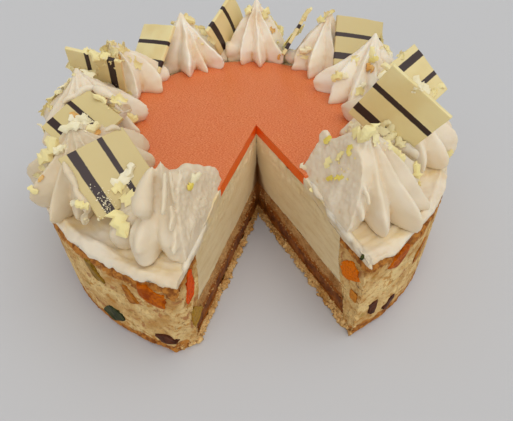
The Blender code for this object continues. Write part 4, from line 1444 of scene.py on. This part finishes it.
# Ridges of torn cream on the dragged faces: picture points, then the radius
RIDGES = {
    "rosette_a": (
        (((172, 170), (173, 186), (176, 204)), 1.4), (((180, 168), (184, 188), (182, 212)), 1.5),
        (((171, 206), (175, 218), (172, 232)), 1.9), (((189, 196), (187, 220), (182, 240)), 1.4),
        (((207, 198), (201, 218), (193, 238)), 1.5), (((196, 170), (201, 188), (200, 202)), 1.3),
        (((182, 232), (178, 244), (175, 256)), 1.7), (((196, 212), (192, 226), (186, 240)), 1.1),
        (((166, 172), (166, 192), (164, 216)), 1.6), (((212, 172), (215, 184), (212, 196)), 1.2),
    ),
    "rosette_j": (
        (((316, 158), (321, 167), (327, 176)), 1.7), (((331, 150), (338, 162), (345, 170)), 1.5),
        (((345, 170), (352, 180), (364, 183)), 1.6), (((362, 183), (365, 193), (369, 206)), 1.4),
        (((322, 180), (330, 196), (342, 212)), 1.2), (((318, 186), (330, 204), (346, 222)), 1.3),
        (((323, 146), (334, 141), (346, 138), (356, 134)), 2.0),
        (((350, 188), (358, 204), (360, 222)), 2.4), (((340, 196), (348, 214), (350, 230)), 1.8),
        (((334, 160), (350, 158), (362, 162)), 1.1),
    ),
}
# Rolled edges of the dragged cream: path as distances from the apex, depths behind the cut and heights,
# then its radius
LIPS = {
    "rosette_a": (
        ((59, 2, 78), (61, 4, 83.5), (66, 7, 87.5), (72, 9, 92), (78, 11, 96), (84, 12, 99)), 3.0),
    "rosette_j": (((54, 5, 82), (57, 9, 91), (64, 13, 97), (71, 16, 102), (77, 18, 104)), 3.2),
}
# Cream folded over the edges of a plate: which plate, picture points and radius
FOLDS = {
    "rosette_b": (
        (0, ((63, 160), (68, 172), (78, 190)), 2.0), (0, ((74, 186), (84, 204), (96, 222)), 2.4),
        (0, ((84, 214), (92, 226), (103, 230)), 2.6), (0, ((104, 132), (113, 127), (121, 131)), 1.6),
    ),
    "rosette_c": (
        (1, ((76, 96), (84, 89), (95, 87)), 2.6), (1, ((93, 87), (104, 92), (117, 101)), 3.0),
        (1, ((112, 98), (124, 108), (132, 118)), 3.2), (1, ((104, 126), (116, 128), (129, 122)), 2.4),
        (1, ((62, 104), (70, 98), (79, 95)), 2.0),
    ),
    "rosette_j": (
        (8, ((378, 130), (389, 137), (400, 144)), 3.6), (8, ((394, 141), (407, 148), (420, 157)), 4.0),
    ),
}


def folds(name):
    """Rolls of cream that hold a plate by its edges."""
    bodies = []
    for number, (index, path, radius) in enumerate(FOLDS.get(name, ())):
        middle, axes = plate_frame(PLATES[index])
        spots = [on_plane(x, y, middle, axes[2]) for x, y in path]
        bodies.append(worm(spots, (0.6 * radius, radius, 0.6 * radius), 150 + number, 4))
    return bodies


# Single rolls of cream on a rosette: path and radii
ROLLS = {
    "rosette_a": (
        ((-42.5, -89.5, 109), (-46, -94.5, 102), (-49, -99.5, 94), (-50, -102, 88)), (1.2, 3.0, 5.2, 5.6)),
    "rosette_j": (((40, -56, 94), (43, -54, 97), (46, -54.5, 98)), (2.6, 4.4, 3.0)),
    "rosette_f": (((-13, 97, 80), (-6, 95, 82.5), (1, 96, 81)), (4.6, 6.6, 5.0)),
    "rosette_g": (((34, 84, 78), (39, 83, 80), (44, 79, 78)), (3.2, 5.4, 3.4)),
}
SLAB_STEPS = 90
# Share of the thickness, and how much of the outline is left there
SLAB_SECTIONS = ((0.25, 1.0), (0.6, 0.95), (0.85, 0.84), (1.0, 0.62))


def slab(smear):
    """The thick body of dragged cream, which leans back from the cut face."""
    along, outward = cut_axes(smear.cut)
    corners = np.array(smear.outline, float)
    fine = np.linspace(0, len(corners) - 1, SLAB_STEPS)
    outline = np.stack([np.interp(fine, np.arange(len(corners)), part) for part in corners.T], axis=-1)
    middle = outline.mean(axis=0)
    lean = 1 / math.tan(math.radians(smear.slope))
    rows = []
    for depth, share in ((-3.0, 1.0), *((part * smear.thickness, size) for part, size in SLAB_SECTIONS)):
        flat = middle + (outline - middle) * share
        back = depth + lean * np.maximum(flat[:, 1:] - SMEAR_FOOT, 0)
        row = APEX_FOOT + flat[:, :1] * along - back * outward
        row[:, 2] = flat[:, 1]
        rows.append(row)
    return closed(np.stack(rows), rows[0].mean(axis=0), rows[-1].mean(axis=0))


def smear_plane(smear):
    """A point of the dragged face and its outward direction."""
    slope = math.radians(smear.slope)
    slant = cut_axes(smear.cut)[1] * math.sin(slope) + (0, 0, math.cos(slope))
    return APEX_FOOT + (0, 0, SMEAR_FOOT), slant


def dragged_star(rosette):
    """What is left of the piped star; A's is in two tiers."""
    if rosette.name != "rosette_a":
        return [whole_star(rosette, 23)]
    base, peak = ends(rosette)
    high = base + (peak - base) * 0.52 + (0, 0, 1.0)
    low = base + (peak - base) * (0.2, 0.2, 0.28)
    return [
        star(base, high, rosette.radius, LOWER_TIER, rosette.lobes, -6, 0.05, 21),
        star(low, peak, 15.0, UPPER_TIER, UPPER_LOBES, -8, 0.3, 22, seated=False)]


def dragged(rosette):
    """A rosette whose side the knife dragged along the cut, as points and faces."""
    name = rosette.name
    smear = SMEARS[name]
    along, outward = cut_axes(smear.cut)
    foot, slant = smear_plane(smear)
    path, radius = LIPS[name]
    bodies = [*dragged_star(rosette), *folds(name), worm(*ROLLS[name], 25, 4, 0.15), slab(smear)]
    bodies.append(worm(beside_cut(smear.cut, path), radius, 39))
    for number, (path, radius) in enumerate(RIDGES[name]):
        spots = [on_plane(x, y, foot, slant) - 0.25 * radius * slant for x, y in path]
        bodies.append(worm(spots, radius, 40 + number))
    points, faces = merged(bodies, DRAGGED_VOXEL, 3)
    across_drag = np.stack((points @ along, points[:, 2] * 0.16, 0 * points[:, 2]), axis=-1)
    amount, size, seed = smear.scores
    rough = amount * fractal(across_drag, size, 3, seed, 0.6)
    amount, size, seed, gain = smear.lumps
    points = keep_ridges(points, foot, slant, rough + amount * fractal(points, size, 4, seed, gain))
    points = soft_clamp(points, APEX_FOOT, outward, 0.35 * fractal(points, 3.0, 4, 36, 0.6), 0.4)
    return points, faces


def keep_ridges(points, foot, slant, rough):
    """Press down what stands over the dragged face, and leave a quarter of it standing."""
    beyond = (points - foot) @ slant + rough
    press = 0.8 * np.logaddexp(0, (beyond - 0.2) / 0.8)
    stand = np.minimum(press * 0.25, 1.4)
    return points - (press - stand)[:, None] * slant


def piped(rosette, index):
    """A whole rosette with its folds and rolls, as points and faces."""
    bodies = [whole_star(rosette, 50 + index), *folds(rosette.name)]
    if rosette.name in ROLLS:
        bodies.append(worm(*ROLLS[rosette.name], 26, 2))
    points, faces = merged(bodies, PIPED_VOXEL)
    points += 0.3 * noise(points, 4.0, 80 + index)[:, None] * (0.6, 0.6, 0.5)
    return points, faces


def make_rosettes(looks):
    pieces = []
    for index, rosette in enumerate(ROSETTES):
        points, faces = dragged(rosette) if rosette.name in SMEARS else piped(rosette, index)
        points[:, 2] = np.maximum(points[:, 2], seat_height(points) - 1.2)
        points = between(index, points)
        body = Body()
        body.add(points, faces, mark=star_marks(points, faces, ROSETTE_PAINTED_LIGHT[index]))
        pieces.append(body.piece(rosette.name + "_cream", looks["star"], "icing", [rosette.name]))
    return pieces


# ---- White chocolate flakes ----

# Tones from white to ochre
PALE, YELLOW, OCHRE, WHITE = 0.15, 0.85, 1.0, 0.0
# Flakes seen in the photograph: picture point, length, width, turn in degrees, curl, tone
FLAKES = (
    (127, 198, 11, 7, -20, 0.9, 0.4), (120, 222, 12, 7, -65, 0.8, 0.5), (189, 187, 4, 3, 30, 0.5, YELLOW),
    (194, 178, 7, 5, 5, 0.9, PALE), (122, 181, 14, 5, 40, 1.6, WHITE), (129, 172, 9, 4, 55, 1.2, WHITE),
    (118, 188, 7, 4, 20, 0.9, 0.5), (83, 118, 6, 5, 30, 1.4, PALE), (88, 122, 8, 4, -60, 1.5, PALE),
    (92, 128, 6, 4, 10, 1.2, 0.3), (95, 133, 5, 3, 15, 0.6, OCHRE), (70, 127, 10, 4, 20, 1.2, PALE),
    (75, 123, 7, 4, -20, 1.5, WHITE), (50, 151, 14, 7, 60, 0.7, 0.4), (44, 165, 8, 4, 70, 0.9, 0.3),
    (60, 150, 6, 4, 30, 1.2, PALE), (36, 132, 6, 3, 80, 1.0, PALE), (83, 205, 6, 4, -30, 0.9, 0.5),
    (77, 202, 6, 3, 5, 1.3, WHITE), (33, 190, 5, 3, -40, 0.6, 0.5), (41, 178, 4, 2, 60, 0.5, OCHRE),
    (42, 106, 9, 6, 20, 1.3, 0.4), (37, 109, 5, 3, -10, 1.0, 0.5), (50, 92, 10, 7, 50, 1.0, 0.4),
    (56, 88, 6, 4, 0, 1.2, 0.3), (62, 80, 7, 4, 60, 1.0, PALE), (71, 67, 6, 4, 90, 1.0, 0.3),
    (88, 75, 8, 5, -30, 1.4, PALE), (93, 72, 6, 4, 20, 1.2, 0.3), (101, 100, 8, 4, -40, 0.8, 0.4),
    (118, 100, 8, 5, -10, 1.2, 0.5), (112, 106, 4, 3, 60, 0.7, 0.5), (116, 112, 6, 3, -50, 0.8, 0.4),
    (75, 115, 5, 3, -30, 0.6, OCHRE), (130, 118, 8, 5, -25, 0.9, 0.6), (97, 42, 10, 7, 30, 1.4, 0.4),
    (92, 47, 6, 4, 60, 1.0, 0.5), (100, 50, 9, 6, -10, 1.5, 0.4), (105, 56, 6, 4, 40, 1.0, 0.6),
    (95, 56, 7, 5, -40, 1.2, 0.4), (113, 52, 8, 5, 20, 1.2, 0.3), (118, 58, 6, 4, 0, 0.8, OCHRE),
    (122, 50, 7, 4, -30, 1.0, 0.4), (133, 60, 8, 4, -50, 0.9, 0.6), (138, 66, 7, 4, -30, 0.9, 0.5),
    (108, 45, 7, 4, 75, 1.2, PALE), (87, 52, 6, 4, 10, 1.2, 0.4), (192, 17, 9, 6, -20, 1.3, 0.4),
    (199, 24, 8, 5, 30, 1.2, 0.4), (203, 32, 7, 4, -40, 1.0, 0.3), (212, 40, 7, 4, -20, 0.8, 0.3),
    (188, 12, 6, 4, 50, 1.0, 0.5), (272, 30, 4.5, 3, -20, 0.6, OCHRE), (265, 14, 8, 5, 60, 1.2, 0.4),
    (279, 20, 12, 5, -60, 0.8, 0.4), (284, 31, 8, 5, -70, 0.9, 0.4), (247, 8, 8, 5, 70, 1.0, 0.4),
    (279, 57, 4, 2, 60, 0.5, OCHRE), (306, 50, 7, 5, 30, 1.5, PALE), (305, 57, 7, 3, -10, 1.2, 0.4),
    (300, 30, 9, 4, 50, 0.8, 0.6), (310, 17, 9, 5, 20, 1.2, 0.4), (318, 13, 8, 5, -20, 1.2, 0.6),
    (327, 11, 8, 4, 10, 1.0, 0.4), (290, 36, 14, 4, 62, 0.4, 0.7), (286, 45, 6, 4, 20, 0.9, 0.4),
    (337, 77, 7, 5, 40, 1.3, 0.6), (344, 76, 5, 4, -20, 1.0, PALE), (355, 60, 7, 4, 60, 0.9, 0.4),
    (358, 92, 8, 4, 10, 1.0, 0.5), (362, 85, 5, 3, 40, 1.0, WHITE), (372, 52, 6, 4, 70, 1.0, 0.4),
    (374, 60, 6, 4, 10, 1.0, 0.7), (371, 68, 6, 4, -40, 0.6, OCHRE), (385, 40, 8, 5, -30, 1.2, 0.5),
    (394, 45, 10, 5, -40, 0.9, 0.4), (398, 52, 8, 4, -50, 1.2, 0.4), (388, 68, 8, 4, -20, 0.8, 0.3),
    (383, 75, 6, 3, 30, 1.2, PALE), (418, 83, 9, 6, -30, 1.6, PALE), (425, 89, 8, 5, -35, 1.3, PALE),
    (433, 93, 6, 4, 40, 1.0, 0.4), (449, 153, 5, 3, 70, 0.6, 0.6), (441, 86, 5, 3, 10, 0.8, 0.4),
    (328, 140, 5, 3, 20, 0.8, YELLOW), (352, 130, 7, 4, 60, 1.3, PALE), (357, 125, 6, 4, 20, 1.2, PALE),
    (362, 134, 9, 6, -10, 1.4, 0.5), (369, 131, 8, 5, 40, 1.2, 0.4), (350, 150, 5, 2.5, 70, 0.6, YELLOW),
    (340, 156, 5, 2.5, 30, 0.6, 0.6), (329, 162, 6, 3, 50, 0.6, 0.6), (330, 178, 5, 2.6, 5, 0.4, YELLOW),
    (339, 178, 5, 2.4, -5, 0.4, YELLOW), (386, 123, 8, 3, 40, 1.8, 0.3), (390, 137, 8, 4, 30, 1.3, 0.3),
    (384, 131, 8, 4, -15, 1.0, 0.3), (400, 143, 8, 4, -45, 1.2, 0.3), (392, 148, 9, 4, -40, 0.8, 0.4),
    (391, 129, 7, 3, 70, 1.5, 0.3), (399, 156, 7, 4, -50, 0.8, 0.4), (416, 170, 9, 4, -70, 0.6, 0.6),
    (419, 181, 6, 3, -80, 0.6, 0.5), (313, 190, 4, 3, 10, 0.8, 0.5), (304, 167, 5, 3, -30, 1.0, WHITE),
    (375, 138, 7, 4, -60, 0.9, 0.3),
)
LONGER, WIDER, FLATTER = 1.15, 1.25, 0.8  # than they were read in the photograph
FAR_FLAKES = 9  # lines aimed at the far side of each rosette
FLAKE_ROWS = 8
SIGHT_STEPS = np.linspace(0.16, 0.42, 53)  # metres from the eye, from the nearest cream to the farthest


def flake(body, place, heading, normal, length, width, curl, tone, seed):
    """A thin bent chip with a torn outline, lying on a surface."""
    draw = np.random.default_rng(seed)
    side = np.cross(normal, heading)
    radius = length / max(curl, 0.2)
    share = np.linspace(-1, 1, FLAKE_ROWS)
    half = width / 2 * draw.uniform(0.6, 1.15, FLAKE_ROWS) * np.sqrt(np.clip(1.08 - share ** 4, 0.05, 1))
    drift = 0.17 * width * draw.uniform(-1, 1, FLAKE_ROWS)
    turn = curl * share / 2 * draw.uniform(0.8, 1.2, FLAKE_ROWS)
    lift = 0.22 * radius * curl ** 2 / 8 + 0.4
    spine = place + np.outer(radius * np.sin(turn), heading)
    spine += np.outer(radius * (np.cos(turn) - 1) + lift, normal)
    rise = np.outer(np.cos(turn), normal) + np.outer(np.sin(turn), heading)
    twist = draw.uniform(-0.5, 0.5) * share
    level = side[None] * np.cos(twist)[:, None] + rise * np.sin(twist)[:, None]
    cup = draw.uniform(-0.25, 0.35) * width
    across = np.array((-1, -0.4, 0.4, 1, 0.4, -0.4))
    above = np.array((0.3, 0.3, 0.3, 0.3, -0.3, -0.3)) * min(1.0, 0.25 * width)
    points = spine[:, None] + level[:, None] * (half[:, None] * across + drift[:, None])[..., None]
    points += rise[:, None] * (above + cup * (1 - across ** 2))[None, :, None]
    mark = marks_of(np.full(points.shape[:2], tone))
    body.grid(points, ring=True, mark=mark)
    corners = np.arange(len(across))[None]
    body.add(points[0], corners, mark=mark[0])
    body.add(points[-1], corners[:, ::-1], mark=mark[-1])


# Loose grains of chocolate: picture point, spread, how many, sizes, tone
GRAINS = (
    ((367, 130), (8, 6), 16, (1.0, 3.0), 0.3), ((352, 128), (7, 5), 7, (1.0, 2.4), 0.4),
    ((396, 142), (10, 8), 10, (0.8, 2.2), 0.3), ((75, 124), (8, 6), 8, (0.8, 2.4), PALE),
    ((89, 125), (8, 7), 12, (0.8, 2.6), PALE), ((72, 70), (8, 6), 6, (0.8, 2.0), 0.3),
    ((110, 50), (17, 11), 50, (1.0, 3.4), 0.4), ((104, 62), (14, 8), 24, (0.8, 2.4), 0.5),
    ((197, 25), (9, 10), 16, (0.8, 2.6), 0.4), ((275, 20), (8, 14), 12, (0.8, 2.4), 0.4),
    ((308, 16), (10, 6), 18, (0.8, 2.6), 0.4), ((304, 54), (5, 4), 5, (1.0, 2.2), 0.4),
    ((390, 48), (12, 9), 18, (1.0, 3.0), 0.4), ((372, 60), (5, 5), 6, (0.8, 2.2), 0.6),
    ((420, 86), (8, 6), 12, (1.0, 2.6), PALE), ((40, 108), (10, 7), 10, (1.0, 3.0), 0.4),
    ((118, 102), (12, 7), 10, (0.8, 2.4), 0.5), ((338, 76), (6, 4), 6, (0.8, 2.0), 0.5),
    ((107, 205), (4, 9), 60, (0.3, 0.8), WHITE), ((128, 180), (3, 7), 36, (0.3, 0.8), WHITE),
    ((102, 196), (12, 14), 26, (0.4, 1.2), WHITE), ((117, 92), (3, 6), 30, (0.3, 0.8), WHITE),
    ((94, 222), (8, 8), 12, (0.6, 1.6), PALE), ((340, 165), (14, 12), 10, (0.5, 1.4), 0.6),
)


def surface(pieces):
    """A search tree over pieces whose meshes lie in the cake's frame."""
    points, faces = [], []
    for obj in pieces:
        start = len(points)
        points += [vertex.co[:] for vertex in obj.data.vertices]
        faces += [[start + i for i in face.vertices] for face in obj.data.polygons]
    return BVHTree.FromPolygons(points, faces)


def drawn(draw, limits, power):
    """A random value between two limits, more often close to the lower one."""
    return limits[0] + (limits[1] - limits[0]) * draw.uniform() ** power


def under_pixel(tree, x, y):
    """Where the line of sight through a picture point meets a surface, or passes nearest to it."""
    ray = picture_ray(x, y)
    place, normal, _, _ = tree.ray_cast(EYE, ray)
    if place is None:
        best = None
        for step in SIGHT_STEPS:
            spot, facing, _, gap = tree.find_nearest(EYE + ray * step)
            if best is None or gap < best[2]:
                best = (spot, facing, gap)
        place, normal = best[:2]
    return np.array(place) / MM, np.array(normal)


def lay_flake(body, tree, spot, length, width, turn, curl, tone, seed):
    """A flake where a picture point's line of sight meets the cake, turned a little to the eye."""
    place, normal = under_pixel(tree, *spot)
    toward = -np.array(picture_ray(*spot))
    normal = normal * (1 if normal @ toward > 0 else -1) * 0.8 + toward * 0.35
    normal /= np.linalg.norm(normal)
    angle = math.radians(turn)
    heading = np.array(VIEW_TURN @ Vector((math.cos(angle), math.sin(angle), 0)))
    heading -= (heading @ normal) * normal
    heading /= np.linalg.norm(heading)
    flake(body, place, heading, normal, length, width, curl, tone, seed)


def lay_grains(body, tree, draw):
    """The loose grains, scattered round their picture points."""
    for number, ((x, y), (wide, tall), count, sizes, tone) in enumerate(GRAINS):
        for grain in range(count):
            size = drawn(draw, sizes, 1.6)
            spot = (x + wide * draw.normal() * 0.6, y + tall * draw.normal() * 0.6)
            lay_flake(
                body, tree, spot, size, size * draw.uniform(0.5, 1.0), draw.uniform(0, 360),
                draw.uniform(0.1, 0.9), tone * draw.uniform(0.6, 1.3), 1000 + 100 * number + grain)


def far_aim(rosette, draw):
    """Where a random line towards a rosette's far side starts, and its direction outwards."""
    axis = Vector(ring_point(rosette.angle, rosette.ring, ROSETTE_FOOT))
    turn = draw.uniform(0, 2 * math.pi)
    outward = Vector((math.cos(turn), math.sin(turn), 0.0))
    if outward.y < 0.1:
        outward = Vector((axis[0], axis[1], 0.0)).normalized() * 0.8 + Vector((0, 0.5, 0))
        outward = (Matrix.Rotation(draw.uniform(-0.8, 0.8), 3, "Z") @ outward).normalized()
    return axis + Vector((0, 0, draw.uniform(8, 44))) + outward * 60, outward


def lay_far_flakes(body, tree, draw):
    """Flakes on the whole rosettes, mostly where the photograph doesn't show them."""
    for index, rosette in enumerate(ROSETTES):
        for number in range(FAR_FLAKES):
            start, outward = far_aim(rosette, draw)
            place, normal, _, _ = tree.ray_cast(start * MM, -outward)
            if place is None or rosette.name in SMEARS:
                continue
            heading = np.cross(normal, draw.normal(size=3))
            heading /= np.linalg.norm(heading)
            tone = draw.choice((PALE, 0.3, 0.5, WHITE))
            size = draw.uniform(1.5, 13) if number % 3 else draw.uniform(6, 13)
            width, curl = size * draw.uniform(0.35, 0.7), draw.uniform(0.3, 1.2)
            seed = 200 + 20 * index + number
            flake(body, np.array(place) / MM, heading, np.array(normal), size, width, curl, tone, seed)


def make_flakes(looks, rosettes, plates):
    tree = surface(rosettes + plates)
    draw = np.random.default_rng(17)
    body = Body()
    for number, (x, y, length, width, turn, curl, tone) in enumerate(FLAKES):
        length, width, curl = LONGER * length, WIDER * width, FLATTER * curl
        lay_flake(body, tree, (x, y), length, width, turn, curl, tone, number)
    lay_grains(body, tree, draw)
    lay_far_flakes(body, tree, draw)
    body.piece("flakes", looks["flake"], "white_chocolate", weld=0.002, flat=True)


# ---- White chocolate plates ----

# Place and side, then facing, tilt and spin in degrees, how far it is bent, and its handedness
Plate = namedtuple("Plate", "name angle ring height side facing tilt spin bend mirrored")
PLATES = (
    Plate("plate_ab", -133.4, 99, 93.5, 35.7, -57, 48, -83, 0.0, 1),
    Plate("plate_bc", -167.0, 97.5, 92.5, 35.5, -107, 62, -30, 0.0, 1),
    Plate("plate_cd", 162.5, 100, 96, 36, -105, -18, -103, 0.0, -1),
    Plate("plate_de", 131.0, 101.5, 94.5, 35.5, -143, 43, 15, 0.6, 1),
    Plate("plate_ef", 94.2, 99.5, 96, 36.3, -37, -4, -60, 2.0, 1),
    Plate("plate_fg", 65.5, 100, 95, 36, 161, 27, 30, 0.5, 1),
    Plate("plate_gh", 34.6, 104, 99, 35.2, -78, 41, -15, 1.0, 1),
    Plate("plate_hi", 1.0, 108, 97, 36.3, -66, 47, 20, 0.0, -1),
    Plate("plate_ij", -32.3, 95, 106, 39, -125, -2, -31, 0.0, 1),
)
# Painted light on each plate, in order; the lower, the more painted shade
PLATE_PAINTED_LIGHT = (0.0, 0.2, 0.8, 1.0, 0.9, 0.8, 0.0, 0.6, 0.85)
PLATE_THICKNESS = 2.4
PLATE_EDGE = 0.35
PLATE_STEPS = np.concatenate(([-1.0], np.linspace(-0.97, 0.97, 23), [1.0]))


def plate_frame(plate):
    """A plate's middle, and its axes across the stripes, along them and outwards."""
    facing, tilt, spin = (math.radians(angle) for angle in (plate.facing, plate.tilt, plate.spin))
    outward = np.array((math.cos(facing), math.sin(facing), 0.0))
    normal = outward * math.cos(tilt) + np.array((0.0, 0.0, math.sin(tilt)))
    level = np.array((-math.sin(facing), math.cos(facing), 0.0))
    along = math.cos(spin) * level + math.sin(spin) * np.cross(normal, level)
    middle = ring_point(plate.angle, plate.ring, plate.height)
    return middle, np.stack((np.cross(along, normal), along, normal))


def square_rim():
    """Points once round a square from -1 to 1."""
    ahead, back = PLATE_STEPS[:-1], PLATE_STEPS[:0:-1]
    edge = np.ones_like(ahead)
    sides = ((ahead, -edge), (edge, ahead), (back, edge), (-edge, back))
    return np.concatenate([np.stack(side, axis=-1) for side in sides])


def plate_body(plate, index):
    """A thin square with a rounded edge, a little uneven and bent."""
    half = plate.side / 2
    edge = half - PLATE_EDGE
    middle, axes = plate_frame(plate)
    body = Body()

    def patch(local, **turns):
        share = local[..., :2] / half
        marks = marks_of(share[..., 0] * plate.mirrored, 0.0, PLATE_PAINTED_LIGHT[index])
        moved = local.copy()
        moved[..., 2] += 0.2 * noise(local + index * 50, 9.0, index) - plate.bend * np.square(share[..., 1])
        moved *= 1 + 0.008 * noise((local + index * 50) * LEVEL, 4.0, index + 3)[..., None] * LEVEL
        body.grid(middle + moved @ axes, mark=marks, **turns)

    x, y = np.meshgrid(edge * PLATE_STEPS, edge * PLATE_STEPS, indexing="ij")
    patch(np.stack((x, y, 0 * x), axis=-1), flip=True)
    patch(np.stack((x, y, 0 * x - PLATE_THICKNESS), axis=-1))
    rim = np.insert(square_rim(), 2, 0.0, axis=1)
    patch(np.stack([rim * inset + (0, 0, depth) for inset, depth in (
        (edge, 0.0), (half - 0.1, -0.1), (half, -PLATE_EDGE), (half, PLATE_EDGE - PLATE_THICKNESS),
        (half - 0.1, 0.1 - PLATE_THICKNESS), (edge, -PLATE_THICKNESS))]), ring=True, flip=True)
    return body


def make_plates(looks):
    return [
        plate_body(plate, index).piece(
            plate.name + "_piece", looks["plate"], "white_chocolate", [plate.name], weld=0.01)
        for index, plate in enumerate(PLATES)]


# ---- Crumbs ----

# Crumbs on the cuts: piece, look, slot, distances from the apex, heights, radii, how many on each face,
# fineness
CRUMBS = (
    ("base_crumbs", "base", "sponge", (3, 122), (0.0, 4.5), (0.7, 2.0), 150, 2),
    ("base_grains", "base", "sponge", (3, 123), (0.3, 9.0), (0.3, 0.8), 420, 1),
    ("soaked_crumbs", "soaked", "soaked_sponge", (4, 108), (17.0, 30.0), (0.3, 0.8), 260, 1),
    ("wall_crumbs", "wall", "sponge", (112, 124), (0.6, 58.0), (0.25, 0.6), 200, 1),
)


def lay_crumb(body, tree, draw, ball_points, faces, cut, number, limits):
    """A crumb on a cut face, unless the line towards it misses or it lies on fruit."""
    along, outward = cut_axes(cut)
    distances, heights, sizes = limits
    size, height = drawn(draw, sizes, 2.4), drawn(draw, heights, 1.2)
    out = draw.uniform(*distances)
    start = APEX_FOOT + along * out + outward * (2 + 0.3 * out) + (0, 0, max(height, 0.3 * size))
    stretch, shift = draw.uniform(0.6, 1.25, 3), draw.uniform(0, 90)
    place = tree.ray_cast(Vector(start * MM), Vector(-outward))[0]
    if place is None:
        return
    place = np.array(place) / MM
    if cut_depth(place, cut) > 9 or fruit_nearness(place, True) < 1.3:
        return
    lump = 1 + 0.7 * noise(ball_points + shift, 0.7, number)[:, None]
    crumb = place + ball_points * lump * size * stretch + outward * size * 0.25
    crumb[:, 2] = np.maximum(crumb[:, 2], 0.05)
    body.add(crumb, faces)


def make_crumbs(looks, crumbly):
    """Loose crumbs that cling to the crumbly pieces."""
    tree = surface(crumbly)
    draw = np.random.default_rng(5)
    for name, look, slot, *limits, count, fineness in CRUMBS:
        points, faces = ball(fineness)
        body = Body()
        for cut in (RIGHT_CUT, LEFT_CUT):
            for number in range(count):
                lay_crumb(body, tree, draw, points, faces, cut, number, limits)
        body.piece(name, looks[look], slot)


# ---- Camera, floor and light ----

# Lamps: name, place that it shines from, width in degrees as seen from the cake, strength
LAMPS = (("window", (0.35, -0.1, 1.0), 60.0, 1.0), ("fill", (-0.1, -1.0, 0.6), 80.0, 0.64))
ROOM_LIGHT = 0.48
FLOOR_REACH = 6000.0


def make_camera():
    data = bpy.data.cameras.new("camera")
    data.sensor_width, data.lens = SENSOR, LENS
    camera = add_object("camera", data)
    camera.matrix_world = Matrix.Translation(EYE) @ VIEW_TURN.to_4x4()
    bpy.context.scene.camera = camera


def make_floor():
    corners = np.array(((-1, -1, 0), (1, -1, 0), (1, 1, 0), (-1, 1, 0))) * FLOOR_REACH
    floor = add_object("floor", mesh_of("floor", corners, [np.arange(4)[None]]))
    look = Look("floor_paper", 0.9)
    look.colour = FLOOR_GREY
    floor.data.materials.append(look.finished())


def make_light():
    """An even white room, a window above and a fill from the front."""
    world = bpy.data.worlds.new("room")
    bpy.context.scene.world = world
    world.use_nodes = True
    background = world.node_tree.nodes["Background"]
    background.inputs["Color"].default_value = (1.0, 1.0, 1.0, 1.0)
    background.inputs["Strength"].default_value = ROOM_LIGHT
    for name, place, width, power in LAMPS:
        data = bpy.data.lights.new(name, "SUN")
        data.angle, data.energy = math.radians(width), power
        lamp = add_object(name, data)
        lamp.location = place
        lamp.rotation_mode = "QUATERNION"
        lamp.rotation_quaternion = (-Vector(place)).to_track_quat("-Z", "Y")
    bpy.context.scene.view_settings.view_transform = "Standard"


make_camera()
make_floor()
make_light()
looks = make_looks()
crumbly = make_crumb_layers(looks)
make_upper_layers(looks)
crumbly.append(make_wall(looks))
make_fruit(looks)
make_green_bit(looks)
make_flakes(looks, make_rosettes(looks), make_plates(looks))
make_crumbs(looks, crumbly)
